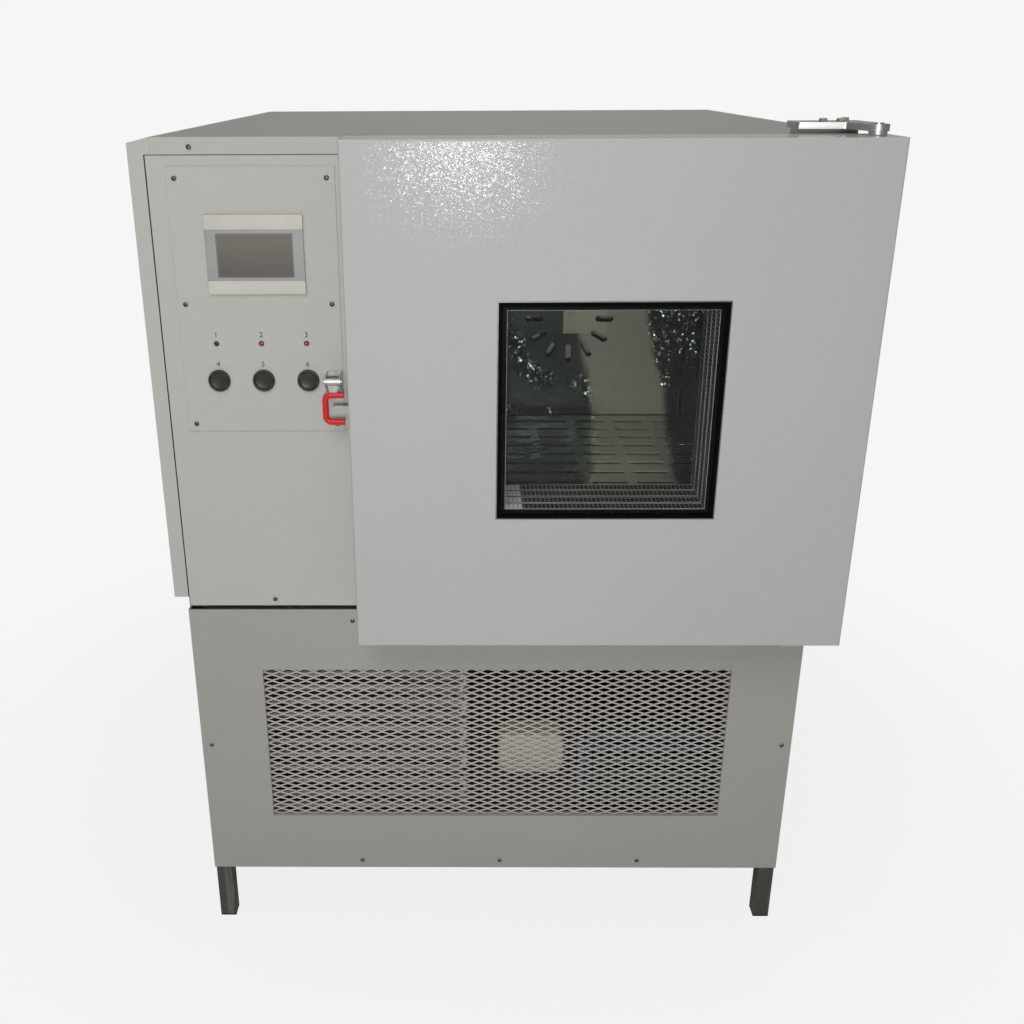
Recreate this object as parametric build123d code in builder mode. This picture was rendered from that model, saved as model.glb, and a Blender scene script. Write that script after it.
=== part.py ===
from build123d import *
from math import asin, cos, radians, sin
import os

os.makedirs("parts", exist_ok=True)

# An environmental test chamber on a narrower machine base. X runs to the right of the
# front, the door faces -Y, Z is up from the floor, and the origin is on the floor
# under the middle of the whole object. Sizes are in millimetres.

# Overall form
upper_width = 946
upper_depth = 950
upper_height = 652
base_width = 910
base_height = 466
leg_length = 100
joint_gap = 7
rear_setback = 20
door_width = 670
door_height = 670
door_thickness = 87
door_gap = 7
door_rise = 1

# Sheet and tube stock
panel_sheet = 2
cover_sheet = 1.5
liner_sheet = 1.2
tube = 25
tube_wall = 2
seat_gap = 0.3

# Places that follow from the overall form
base_bottom = leg_length
base_top = base_bottom + base_height
upper_bottom = base_top + joint_gap
upper_top = upper_bottom + upper_height
front_plane = (door_thickness + door_gap - upper_depth) / 2
rear_plane = front_plane + upper_depth
base_rear = rear_plane - rear_setback
frame_front = front_plane + panel_sheet
half_base = base_width / 2
half_upper = upper_width / 2
door_right = half_upper
door_left = door_right - door_width
door_top = upper_top + door_rise
door_bottom = door_top - door_height
door_front = front_plane - door_gap - door_thickness
door_back = front_plane - door_gap
door_x = (door_left + door_right) / 2
door_z = (door_bottom + door_top) / 2


def finish(builder, name):
    # Label a finished sub-part and write its own file.
    builder.part.label = name
    export_step(builder.part, f"parts/{name}.step")


def block(x0, x1, y0, y1, z0, z1, mode=Mode.ADD):
    # A plain plate or block between two corners.
    with BuildSketch(Plane.XY.offset(z0), mode=Mode.PRIVATE) as outline:
        with Locations(((x0 + x1) / 2, (y0 + y1) / 2)):
            Rectangle(x1 - x0, y1 - y0)
    return extrude(outline.sketch, amount=z1 - z0, mode=mode)


def front_facing(y):
    # A drawing plane that faces the front, with X to the right and Z up.
    return Plane(origin=(0, y, 0), x_dir=(1, 0, 0), z_dir=(0, -1, 0))


def disc(x, z, radius, y_front, y_back, mode=Mode.ADD):
    # A round plate, pin or hole whose axis runs from front to back.
    with BuildSketch(front_facing(y_back), mode=Mode.PRIVATE) as outline:
        with Locations((x, z)):
            Circle(radius)
    return extrude(outline.sketch, amount=y_back - y_front, mode=mode)


def tube_along(axis, x0, y0, z0, length):
    # A square steel tube from its low corner, along X, Y or Z.
    mid = tube / 2
    planes = {
        "x": Plane(origin=(x0, y0 + mid, z0 + mid), x_dir=(0, 1, 0), z_dir=(1, 0, 0)),
        "y": Plane(origin=(x0 + mid, y0, z0 + mid), x_dir=(1, 0, 0), z_dir=(0, 1, 0)),
        "z": Plane(origin=(x0 + mid, y0 + mid, z0), x_dir=(1, 0, 0), z_dir=(0, 0, 1)),
    }
    inner = tube - 2 * tube_wall
    with BuildSketch(planes[axis], mode=Mode.PRIVATE) as section:
        Rectangle(tube, tube)
        Rectangle(inner, inner, mode=Mode.SUBTRACT)
    extrude(section.sketch, amount=length)


# Base frame: four square-tube posts that end as the legs, and two rings of rails
post_left = -half_base + panel_sheet
post_right = half_base - panel_sheet - tube
post_rear = base_rear - panel_sheet - tube
plug_flange = 3
plug_depth = 22
plug_clearance = 0.2
weld_gap = 0.2
rail_span_x = post_right - post_left - tube - 2 * weld_gap
rail_span_y = post_rear - frame_front - tube - 2 * weld_gap
rail_levels = (base_bottom, base_top - tube)

with BuildPart() as base_frame:
    for x in (post_left, post_right):
        for y in (frame_front, post_rear):
            tube_along("z", x, y, plug_flange, base_top - plug_flange)
    for z in rail_levels:
        for y in (frame_front, post_rear):
            tube_along("x", post_left + tube + weld_gap, y, z, rail_span_x)
        for x in (post_left, post_right):
            tube_along("y", x, frame_front + tube + weld_gap, z, rail_span_y)
finish(base_frame, "base_frame")

with BuildPart() as foot_plugs:
    for x in (post_left, post_right):
        for y in (frame_front, post_rear):
            block(x, x + tube, y, y + tube, 0, plug_flange)
            inset = tube_wall + plug_clearance
            block(x + inset, x + tube - inset, y + inset, y + tube - inset,
                  plug_flange, plug_flange + plug_depth)
finish(foot_plugs, "foot_plugs")

# Base panels. The front one has the wide air opening with a folded rim behind it.
vent_width = 705
vent_height = 264
vent_bottom = base_bottom + 101
rim_depth = 10
rim_sheet = 2
vent_top = vent_bottom + vent_height
half_vent = vent_width / 2

with BuildPart() as base_front_panel:
    block(-half_base, half_base, front_plane, frame_front, base_bottom, base_top)
    block(-half_vent - rim_sheet, half_vent + rim_sheet, frame_front,
          frame_front + rim_depth, vent_bottom - rim_sheet, vent_top + rim_sheet)
    block(-half_vent, half_vent, front_plane, frame_front + rim_depth,
          vent_bottom, vent_top, mode=Mode.SUBTRACT)
finish(base_front_panel, "base_front_panel")

# Expanded-metal grille: staggered diamond openings in a thin plate behind the rim
diamond_pitch_x = 50
diamond_pitch_z = 21
strand_width = 4.6
grille_sheet = 1.5
grille_y = frame_front + 2
columns = int(vent_width / diamond_pitch_x)
rows = int(vent_height / diamond_pitch_z)
half_diamond_x = diamond_pitch_x / 2 - strand_width
half_diamond_z = diamond_pitch_z / 2 - strand_width / 2

diamond = ((half_diamond_x, 0), (0, half_diamond_z), (-half_diamond_x, 0),
           (0, -half_diamond_z))

with BuildPart() as base_grille:
    with BuildSketch(front_facing(grille_y + grille_sheet)):
        with Locations((0, (vent_bottom + vent_top) / 2)):
            Rectangle(vent_width, vent_height)
            with GridLocations(diamond_pitch_x, diamond_pitch_z, columns, rows):
                Polygon(*diamond, mode=Mode.SUBTRACT)
            with GridLocations(diamond_pitch_x, diamond_pitch_z, columns - 1, rows - 1):
                Polygon(*diamond, mode=Mode.SUBTRACT)
    extrude(amount=grille_sheet)
finish(base_grille, "base_grille")

with BuildPart() as base_side_panels:
    for outer in (-half_base, half_base - panel_sheet):
        block(outer, outer + panel_sheet, frame_front, base_rear, base_bottom, base_top)
finish(base_side_panels, "base_side_panels")

# Rear panel of the base, with pressed louvres for the warm air and the cable gland hole
louvre_width = 240
louvre_reach = 10
louvre_height = 16
louvre_pitch = 32
louvre_rows = 7
louvre_columns = 2
louvre_column_pitch = 330
louvre_sheet = 1.2
louvre_centre_z = base_bottom + 270
gland_x = half_base - 80
gland_z = base_bottom + 60
gland_thread = 10
gland_clearance = 0.2
gland_hole = gland_thread + gland_clearance

slot_height = louvre_height - 2 * louvre_sheet
louvre_columns_x = [(i - (louvre_columns - 1) / 2) * louvre_column_pitch
                    for i in range(louvre_columns)]
louvre_rows_z = [louvre_centre_z + (i - (louvre_rows - 1) / 2) * louvre_pitch
                 for i in range(louvre_rows)]

with BuildPart() as base_rear_panel:
    with BuildSketch(front_facing(base_rear)):
        with Locations((0, (base_bottom + base_top) / 2)):
            Rectangle(-2 * post_left, base_height)
        with Locations((0, louvre_centre_z + slot_height / 2)):
            with GridLocations(louvre_column_pitch, louvre_pitch, louvre_columns,
                               louvre_rows):
                Rectangle(louvre_width, slot_height, mode=Mode.SUBTRACT)
        with Locations((gland_x, gland_z)):
            Circle(gland_hole, mode=Mode.SUBTRACT)
    extrude(amount=panel_sheet)
    # Each hood is open at the bottom and slopes back to the sheet at the top.
    for x in louvre_columns_x:
        with BuildSketch(Plane(origin=(x - louvre_width / 2, base_rear, 0),
                               x_dir=(0, 1, 0), z_dir=(1, 0, 0))):
            for z in louvre_rows_z:
                Polygon((0, z + louvre_height), (louvre_reach, z + louvre_sheet),
                        (louvre_reach, z), (louvre_reach - louvre_sheet, z),
                        (louvre_reach - louvre_sheet, z + louvre_sheet / 2),
                        (0, z + slot_height), align=None)
        extrude(amount=louvre_width)
finish(base_rear_panel, "base_rear_panel")

# Cable gland for the mains lead: hexagonal body outside, locknut inside, bored through
gland_hex = 12.5
gland_bore = 6
gland_body = 7
gland_dome = 6
gland_dome_radius = 10.5
gland_nut = 5
gland_nut_hex = 13.5

with BuildPart() as power_cable_gland:
    seats = ((base_rear, gland_body, gland_hex),
             (base_rear - panel_sheet - gland_nut, gland_nut, gland_nut_hex))
    for y, length, radius in seats:
        with BuildSketch(front_facing(y + length)):
            with Locations((gland_x, gland_z)):
                RegularPolygon(radius, 6)
        extrude(amount=length)
    disc(gland_x, gland_z, gland_thread, base_rear - panel_sheet - gland_nut, base_rear)
    disc(gland_x, gland_z, gland_dome_radius, base_rear + gland_body,
         base_rear + gland_body + gland_dome)
    disc(gland_x, gland_z, gland_bore, base_rear - panel_sheet - gland_nut,
         base_rear + gland_body + gland_dome, mode=Mode.SUBTRACT)
finish(power_cable_gland, "power_cable_gland")

# Floor tray of the base, notched round the posts and turned up at its inner edges
tray_z = base_bottom + tube
tray_lip = 18
with BuildPart() as base_tray:
    block(post_left, -post_left, frame_front, post_rear + tube, tray_z, tray_z + panel_sheet)
    for x in (post_left, post_right):
        for y in (frame_front, post_rear):
            block(x, x + tube, y, y + tube, tray_z, tray_z + panel_sheet,
                  mode=Mode.SUBTRACT)
    for y in (frame_front + tube, post_rear - panel_sheet):
        block(post_left + tube, post_right, y, y + panel_sheet, tray_z + panel_sheet,
              tray_z + panel_sheet + tray_lip)
finish(base_tray, "base_tray")

# Refrigeration plant. Two hermetic compressors stand on the tray behind the condensers.
tray_top = tray_z + panel_sheet
can_radius = 88
can_height = 210
can_foot = 12
can_dome = 46
can_shoulder = 22
can_y = front_plane + 560
low_can_x = -190
high_can_x = 190
foot_span = 200
foot_width = 34
foot_pad_radius = 14
stub_radius = 7
stub_length = can_height * 0.4
stub_offset = can_radius * 0.55


def dome_point(radius, rise):
    # The middle of a shallow arc that is centred on the axis, from rim to crown.
    ball = (radius ** 2 + rise ** 2) / (2 * rise)
    half_turn = asin(radius / ball) / 2
    return ball * sin(half_turn), rise - ball + ball * cos(half_turn)


def compressor(name, x):
    # A welded steel can with a domed top, on two foot bars with a round pad at each end.
    with BuildPart() as can:
        base_z = tray_top + can_foot
        with BuildSketch(Plane(origin=(x, can_y, base_z), x_dir=(1, 0, 0),
                               z_dir=(0, -1, 0))):
            with BuildLine():
                middle_x, middle_z = dome_point(can_radius, can_dome)
                Line((0, 0), (can_radius - can_shoulder, 0))
                Line((can_radius - can_shoulder, 0), (can_radius, can_shoulder))
                Line((can_radius, can_shoulder), (can_radius, can_height - can_dome))
                ThreePointArc((can_radius, can_height - can_dome),
                              (middle_x, can_height - can_dome + middle_z),
                              (0, can_height))
                Line((0, can_height), (0, 0))
            make_face()
        revolve(axis=Axis((x, can_y, 0), (0, 0, 1)))
        for y in (can_y - foot_span / 2, can_y + foot_span / 2 - foot_width):
            block(x - foot_span / 2, x + foot_span / 2, y, y + foot_width,
                  base_z - panel_sheet, base_z + panel_sheet)
            for dx in (-1, 1):
                with BuildSketch(Plane.XY.offset(tray_top)):
                    with Locations((x + dx * (foot_span / 2 - foot_width / 2),
                                    y + foot_width / 2)):
                        Circle(foot_pad_radius)
                extrude(amount=can_foot - panel_sheet)
        for dx in (-1, 1):
            with BuildSketch(Plane.XY.offset(base_z + can_height - stub_length)):
                with Locations((x + dx * stub_offset, can_y)):
                    Circle(stub_radius)
            extrude(amount=stub_length)
    finish(can, name)


compressor("compressor_low_stage", low_can_x)
compressor("compressor_high_stage", high_can_x)

# Pale terminal cover seen through the grille, on its bracket from the tray
cover_left = 8
cover_right = 115
cover_bottom = 211
cover_top = 286
cover_y = front_plane + 100
cover_depth = 46
cover_radius = 18
cover_edge = 6
bracket_sheet = 2
bracket_inset = 24
bracket_drop = 12
bracket_foot = 32

with BuildPart() as terminal_box:
    with BuildSketch(front_facing(cover_y + cover_depth)):
        with Locations(((cover_left + cover_right) / 2, (cover_bottom + cover_top) / 2)):
            RectangleRounded(cover_right - cover_left, cover_top - cover_bottom,
                             cover_radius)
    extrude(amount=cover_depth)
    fillet(terminal_box.edges().group_by(Axis.Y)[0], cover_edge)
    x0 = cover_left + bracket_inset
    x1 = cover_right - bracket_inset
    y0 = cover_y + cover_depth
    block(x0, x1, y0, y0 + bracket_sheet, tray_top, cover_top - bracket_drop)
    block(x0, x1, y0 + bracket_sheet, y0 + bracket_foot, tray_top,
          tray_top + bracket_sheet)
finish(terminal_box, "terminal_box")

# Two finned condensers behind the grille, each a block of fins between end plates with
# rows of tubes that show at the front
fin_pitch = 16
tube_row_pitch = 25
coil_tube = 9
fin_sheet = 1.2
coil_bottom = tray_top
end_plate = 3
coil_core = 6


def finned_coil(name, x0, x1, y0, depth, z0, z1, pitch):
    # Upright fins on a thin core, with square-cut tube rows a quarter of the way in.
    count = int((x1 - x0 - 2 * end_plate) / pitch)
    lines = int((z1 - z0) / tube_row_pitch)
    with BuildPart() as coil:
        with BuildSketch(Plane.XY.offset(z0)):
            with Locations(((x0 + x1) / 2, y0 + depth / 2)):
                Rectangle(x1 - x0, depth)
                Rectangle(x1 - x0 - 2 * end_plate, depth, mode=Mode.SUBTRACT)
                Rectangle(x1 - x0, coil_core)
                with GridLocations(pitch, 1, count, 1):
                    Rectangle(fin_sheet, depth)
        extrude(amount=z1 - z0)
        with BuildSketch(Plane(origin=(x0, y0 + depth / 4, (z0 + z1) / 2),
                               x_dir=(0, 1, 0), z_dir=(1, 0, 0))):
            with GridLocations(1, tube_row_pitch, 1, lines):
                Rectangle(coil_tube, coil_tube)
        extrude(amount=x1 - x0)
    finish(coil, name)


left_coil_x = (-420, -44)
right_coil_x = (140, 420)
left_coil_y = front_plane + 70
right_coil_y = front_plane + 110
left_coil_top = 505
right_coil_top = 300
coil_depth = 60
finned_coil("condenser_left", *left_coil_x, left_coil_y, coil_depth, coil_bottom,
            left_coil_top, fin_pitch)
finned_coil("condenser_right", *right_coil_x, right_coil_y, coil_depth, coil_bottom,
            right_coil_top, fin_pitch)

# Condenser fan: a shroud plate with a collar behind the left coil, a motor on three
# arms and a bladed wheel on its shaft
fan_x = (left_coil_x[0] + left_coil_x[1]) / 2
fan_z = 320
fan_radius = 150
blade_clearance = 8
collar_depth = 60
shroud_sheet = 2
shroud_space = 20
shroud_y = left_coil_y + coil_depth + shroud_space
shaft_radius = 5
running_clearance = 0.06
hub_radius = 24
hub_length = 34
hub_space = 15
blade_count = 5
blade_sheet = 2
blade_sink = 2
blade_root_chord = 34
blade_root_pitch = 30
blade_tip_chord = 78
blade_tip_pitch = 18
motor_radius = 42
motor_length = 70
motor_cap = 6
motor_seat = 14
motor_space = 14
motor_y = shroud_y + collar_depth + motor_space
shaft_setback = 1
arm_width = 14
arm_sheet = 4
hub_y = motor_y - hub_space - hub_length

with BuildPart() as condenser_fan_shroud:
    half = (left_coil_x[1] - left_coil_x[0]) / 2
    block(fan_x - half, fan_x + half, shroud_y, shroud_y + shroud_sheet,
          tray_top, left_coil_top)
    for z0, z1 in ((tray_top, tray_top + shroud_sheet),
                   (left_coil_top - shroud_sheet, left_coil_top)):
        block(fan_x - half, fan_x + half, left_coil_y + coil_depth, shroud_y, z0, z1)
    disc(fan_x, fan_z, fan_radius + shroud_sheet, shroud_y, shroud_y + collar_depth)
    disc(fan_x, fan_z, fan_radius, shroud_y, shroud_y + collar_depth, mode=Mode.SUBTRACT)
    # Three arms cross behind the collar and carry the motor at its front face.
    arm_y = shroud_y + collar_depth
    for angle in (90, 210, 330):
        with BuildSketch(front_facing(arm_y + arm_sheet)):
            with Locations(Location((fan_x, fan_z), angle)):
                with Locations(((motor_radius - motor_seat + fan_radius) / 2, 0)):
                    Rectangle(fan_radius + shroud_sheet - motor_radius + motor_seat, arm_width)
        extrude(amount=arm_sheet)
    with BuildSketch(front_facing(motor_y)):
        with Locations((fan_x, fan_z)):
            Circle(motor_radius)
            Circle(motor_radius - motor_seat, mode=Mode.SUBTRACT)
    extrude(amount=motor_y - arm_y)
finish(condenser_fan_shroud, "condenser_fan_shroud")

with BuildPart() as condenser_fan_motor:
    disc(fan_x, fan_z, motor_radius, motor_y, motor_y + motor_length)
    disc(fan_x, fan_z, shaft_radius + running_clearance, motor_y, motor_y + motor_length,
         mode=Mode.SUBTRACT)
    disc(fan_x, fan_z, motor_radius - motor_cap, motor_y + motor_length,
         motor_y + motor_length + motor_cap)
finish(condenser_fan_motor, "condenser_fan_motor")

with BuildPart() as condenser_fan:
    disc(fan_x, fan_z, hub_radius, hub_y, hub_y + hub_length)
    disc(fan_x, fan_z, shaft_radius, hub_y, motor_y + motor_length - shaft_setback)
    blade_root = hub_radius - blade_sink
    blade_tip = fan_radius - blade_clearance
    for i in range(blade_count):
        turn = i * 360 / blade_count
        along = (cos(radians(turn)), 0, sin(radians(turn)))
        sections = ((blade_root, blade_root_chord, blade_root_pitch),
                    (blade_tip, blade_tip_chord, blade_tip_pitch))
        for radius, chord, pitch_angle in sections:
            origin = (fan_x + along[0] * radius, hub_y + hub_length / 2,
                      fan_z + along[2] * radius)
            across = (-sin(radians(turn)) * cos(radians(pitch_angle)),
                      sin(radians(pitch_angle)),
                      cos(radians(turn)) * cos(radians(pitch_angle)))
            with BuildSketch(Plane(origin=origin, x_dir=across, z_dir=along)):
                Rectangle(chord, blade_sheet)
        loft()
finish(condenser_fan, "condenser_fan")

# Rubber strips carry the upper cabinet on the base rails and leave the dark joint line
strip_setback = 16
strip_width = 20
with BuildPart() as joint_strips:
    x0 = post_left + (tube - strip_width) / 2
    x1 = -x0
    y0 = frame_front + strip_setback
    y1 = post_rear + tube - strip_setback
    for left in (x0, x1 - strip_width):
        block(left, left + strip_width, y0, y1, base_top, upper_bottom)
    for front in (y0, y1 - strip_width):
        block(x0 + strip_width + weld_gap, x1 - strip_width - weld_gap, front,
              front + strip_width, base_top, upper_bottom)
finish(joint_strips, "joint_strips")

# Upper cabinet carcass: floor sheet and a light frame round the control bay and rear
floor_top = upper_bottom + panel_sheet
cover_lap = 3
inner_half = half_base - cover_lap
band_height = 21.5
carcass_top = upper_top - band_height
carcass_rear = rear_plane - panel_sheet
bay_right = -203

with BuildPart() as cabinet_floor:
    block(-inner_half, inner_half, frame_front, carcass_rear, upper_bottom, floor_top)
finish(cabinet_floor, "cabinet_floor")

with BuildPart() as upper_frame:
    posts = ((-inner_half, frame_front), (-inner_half, carcass_rear - tube),
             (inner_half - tube, carcass_rear - tube))
    for x, y in posts:
        tube_along("z", x, y, floor_top, carcass_top - floor_top)
    top_rail = carcass_top - tube
    side_length = carcass_rear - frame_front - 2 * tube - 2 * weld_gap
    first_x = -inner_half + tube + weld_gap
    tube_along("y", -inner_half, frame_front + tube + weld_gap, top_rail, side_length)
    tube_along("x", first_x, carcass_rear - tube, top_rail,
               2 * (inner_half - tube - weld_gap))
    tube_along("x", first_x, frame_front, top_rail, bay_right - first_x)
finish(upper_frame, "upper_frame")

# Chamber: a stainless box in thick insulation boards
cavity_width = 460
cavity_height = 460
cavity_depth = 500
plenum_depth = 130
baffle_sheet = 2
rear_board = 88
board_gap = 0.2
cavity_left = door_x - cavity_width / 2
cavity_right = door_x + cavity_width / 2
cavity_bottom = door_z - cavity_height / 2
cavity_top = door_z + cavity_height / 2
cavity_back = frame_front + cavity_depth
liner_back = cavity_back + baffle_sheet + plenum_depth
board_back = liner_back + liner_sheet + rear_board
fan_shaft_radius = 8
shaft_hole = 16

with BuildPart() as chamber_liner:
    block(cavity_left - liner_sheet, cavity_right + liner_sheet, frame_front,
          liner_back + liner_sheet, cavity_bottom - liner_sheet, cavity_top + liner_sheet)
    block(cavity_left, cavity_right, frame_front, liner_back, cavity_bottom, cavity_top,
          mode=Mode.SUBTRACT)
    disc(door_x, door_z, shaft_hole, liner_back, liner_back + liner_sheet,
         mode=Mode.SUBTRACT)
finish(chamber_liner, "chamber_liner")

with BuildPart() as chamber_insulation:
    in_left = cavity_left - liner_sheet
    in_right = cavity_right + liner_sheet
    in_bottom = cavity_bottom - liner_sheet
    in_top = cavity_top + liner_sheet
    in_back = liner_back + liner_sheet
    block(bay_right, in_left, frame_front, in_back, floor_top, carcass_top)
    block(in_right, inner_half, frame_front, in_back, floor_top, carcass_top)
    for z0, z1 in ((floor_top, in_bottom), (in_top, carcass_top)):
        block(in_left + board_gap, in_right - board_gap, frame_front, in_back, z0, z1)
    block(bay_right, inner_half, in_back + board_gap, board_back, floor_top, carcass_top)
    disc(door_x, door_z, shaft_hole, in_back, board_back, mode=Mode.SUBTRACT)
finish(chamber_insulation, "chamber_insulation")

# Painted front frame round the chamber's mouth, the face that the gasket meets
with BuildPart() as chamber_front_frame:
    block(bay_right, inner_half, front_plane, frame_front, upper_bottom, carcass_top)
    block(cavity_left, cavity_right, front_plane, frame_front, cavity_bottom, cavity_top,
          mode=Mode.SUBTRACT)
finish(chamber_front_frame, "chamber_front_frame")

# Baffle at the back of the cavity: a ring of inlet slots at the fan, outlet slots by
# the walls, and folded rims that stand on the liner
inlet_radius = 62
inlet_slots = 12
inlet_slot_width = 11
inlet_slot_length = 32
outlet_slot_width = 12
outlet_slot_length = 90
outlet_count = 4
outlet_inset = 26
rim = 14

with BuildPart() as rear_baffle:
    with BuildSketch(front_facing(cavity_back + baffle_sheet)):
        outlet_pitch = cavity_height / outlet_count
        with Locations((door_x, door_z)):
            Rectangle(cavity_width, cavity_height)
            with PolarLocations(inlet_radius, inlet_slots):
                SlotOverall(inlet_slot_length, inlet_slot_width, mode=Mode.SUBTRACT)
            with GridLocations(cavity_width - 2 * outlet_inset, outlet_pitch, 2,
                               outlet_count):
                Rectangle(outlet_slot_width, outlet_slot_length, mode=Mode.SUBTRACT)
    extrude(amount=baffle_sheet)
    for x0, x1 in ((cavity_left, cavity_left + baffle_sheet),
                   (cavity_right - baffle_sheet, cavity_right)):
        block(x0, x1, cavity_back + baffle_sheet, cavity_back + baffle_sheet + rim,
              cavity_bottom, cavity_top)
finish(rear_baffle, "rear_baffle")

# Evaporator and heater in the space behind the baffle
evaporator_height = 110
evaporator_depth = 70
evaporator_margin = 20
evaporator_space = 28
evaporator_pitch = 20
finned_coil("evaporator_coil", cavity_left + evaporator_margin,
            cavity_right - evaporator_margin, cavity_back + baffle_sheet + evaporator_space,
            evaporator_depth, cavity_bottom, cavity_bottom + evaporator_height,
            evaporator_pitch)

heater_radius = 4
heater_loop = 190
heater_drop = 90
heater_space = 60
heater_z = cavity_top - heater_drop
heater_y = cavity_back + baffle_sheet + heater_space
heater_bend = 20
heater_rows = 2
heater_row_pitch = 30

with BuildPart() as heater_elements:
    for row in range(heater_rows):
        y = heater_y + row * heater_row_pitch
        with BuildLine() as loop:
            FilletPolyline((door_x - heater_loop, y, cavity_top),
                           (door_x - heater_loop, y, heater_z),
                           (door_x + heater_loop, y, heater_z),
                           (door_x + heater_loop, y, cavity_top), radius=heater_bend)
        with BuildSketch(Plane(origin=(door_x - heater_loop, y, cavity_top),
                               z_dir=(0, 0, -1))):
            Circle(heater_radius)
        sweep(path=loop.line)
finish(heater_elements, "heater_elements")

# Circulation fan: wheel in the plenum on a long shaft through the rear wall, and the
# motor outside with its flange on the insulation
wheel_radius = 105
wheel_width = 46
wheel_plate = 2.5
wheel_blades = 12
wheel_space = 80
wheel_y = cavity_back + baffle_sheet + wheel_space
wheel_hub_radius = 20
wheel_hub_setback = 10
wheel_eye_radius = wheel_radius * 0.62
wheel_blade_place = wheel_radius * 0.78
wheel_blade_chord = wheel_radius * 0.4
wheel_blade_sheet = 2
wheel_blade_turn = 30
air_motor_radius = 58
air_motor_length = 120
air_flange = 8
air_flange_size = 150
air_flange_round = 12
air_cap_step = 8
air_cap_length = 16
shaft_end = 60
shaft_bore_space = 2

with BuildPart() as circulation_fan:
    disc(door_x, door_z, wheel_radius, wheel_y + wheel_width - wheel_plate,
         wheel_y + wheel_width)
    disc(door_x, door_z, wheel_hub_radius, wheel_y + wheel_hub_setback,
         wheel_y + wheel_width)
    disc(door_x, door_z, fan_shaft_radius, wheel_y, board_back + air_flange + shaft_end)
    with BuildSketch(front_facing(wheel_y + wheel_width - wheel_plate)):
        with Locations((door_x, door_z)):
            with PolarLocations(wheel_blade_place, wheel_blades):
                Rectangle(wheel_blade_chord, wheel_blade_sheet, rotation=wheel_blade_turn)
    extrude(amount=wheel_width - 2 * wheel_plate)
    with BuildSketch(front_facing(wheel_y + wheel_plate)):
        with Locations((door_x, door_z)):
            Circle(wheel_radius)
            Circle(wheel_eye_radius, mode=Mode.SUBTRACT)
    extrude(amount=wheel_plate)
finish(circulation_fan, "circulation_fan")

with BuildPart() as circulation_motor:
    with BuildSketch(front_facing(board_back + air_flange)):
        with Locations((door_x, door_z)):
            RectangleRounded(air_flange_size, air_flange_size, air_flange_round)
    extrude(amount=air_flange)
    disc(door_x, door_z, air_motor_radius, board_back + air_flange,
         board_back + air_flange + air_motor_length)
    disc(door_x, door_z, fan_shaft_radius + running_clearance, board_back,
         board_back + air_flange + shaft_end + shaft_bore_space, mode=Mode.SUBTRACT)
    disc(door_x, door_z, air_motor_radius - air_cap_step,
         board_back + air_flange + air_motor_length,
         board_back + air_flange + air_motor_length + air_cap_length)
finish(circulation_motor, "circulation_motor")

# Shelf and its rails. The slotted sheet has turned-down edges that sit on the angles.
shelf_rise = 60
shelf_z = cavity_bottom + shelf_rise
rail_width = 16
rail_height = 14
rail_inset = 30
shelf_clearance = 3
shelf_sheet = 1.5
shelf_edge = 12
shelf_front_inset = 34
slot_columns = 6
slot_rows = 9
slot_bridge = 14
shelf_slot_width = 12
shelf_depth = cavity_depth - 2 * shelf_front_inset
shelf_x0 = cavity_left + shelf_clearance
shelf_x1 = cavity_right - shelf_clearance

with BuildPart() as shelf_rails:
    for side in (-1, 1):
        wall = door_x + side * cavity_width / 2
        inner = wall - side * rail_width
        skin = wall - side * shelf_sheet
        y0 = frame_front + rail_inset
        y1 = cavity_back - rail_inset
        block(min(wall, skin), max(wall, skin), y0, y1, shelf_z - rail_height, shelf_z)
        block(min(skin, inner), max(skin, inner), y0, y1, shelf_z - shelf_sheet, shelf_z)
finish(shelf_rails, "shelf_rails")

with BuildPart() as shelf:
    y0 = frame_front + shelf_front_inset
    y1 = y0 + shelf_depth
    slot_pitch_x = (shelf_x1 - shelf_x0 - 2 * rail_width - slot_bridge) / slot_columns
    slot_pitch_y = (shelf_depth - 2 * shelf_edge) / slot_rows
    with BuildSketch(Plane.XY.offset(shelf_z)):
        with Locations((door_x, (y0 + y1) / 2)):
            Rectangle(shelf_x1 - shelf_x0, shelf_depth)
            with GridLocations(slot_pitch_x, slot_pitch_y, slot_columns, slot_rows):
                Rectangle(slot_pitch_x - slot_bridge, shelf_slot_width,
                          mode=Mode.SUBTRACT)
    extrude(amount=shelf_sheet)
    for y in (y0, y1 - shelf_sheet):
        block(shelf_x0 + rail_width, shelf_x1 - rail_width, y, y + shelf_sheet,
              shelf_z - shelf_edge, shelf_z)
finish(shelf, "shelf")

# Lamp on the chamber's ceiling: a round glass cover with a sloped edge
lamp_from_wall = 90
lamp_from_front = 150
lamp_x = cavity_left + lamp_from_wall
lamp_y = frame_front + lamp_from_front
lamp_radius = 34
lamp_height = 16
lamp_slope = 7
with BuildPart() as chamber_lamp:
    with BuildSketch(Plane.XY.offset(cavity_top - lamp_height)):
        with Locations((lamp_x, lamp_y)):
            Circle(lamp_radius)
    extrude(amount=lamp_height)
    chamfer(chamber_lamp.edges().group_by(Axis.Z)[0], lamp_slope)
finish(chamber_lamp, "chamber_lamp")

# Outer covers of the upper cabinet. The side covers stand out past the base, wrap
# round the front as a narrow flange, and lean in at the top edge.
cover_lift = 14
cover_bottom_z = upper_bottom + cover_lift
slope_width = 28
slope_drop = 7
slope_x = half_upper - slope_width

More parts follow.
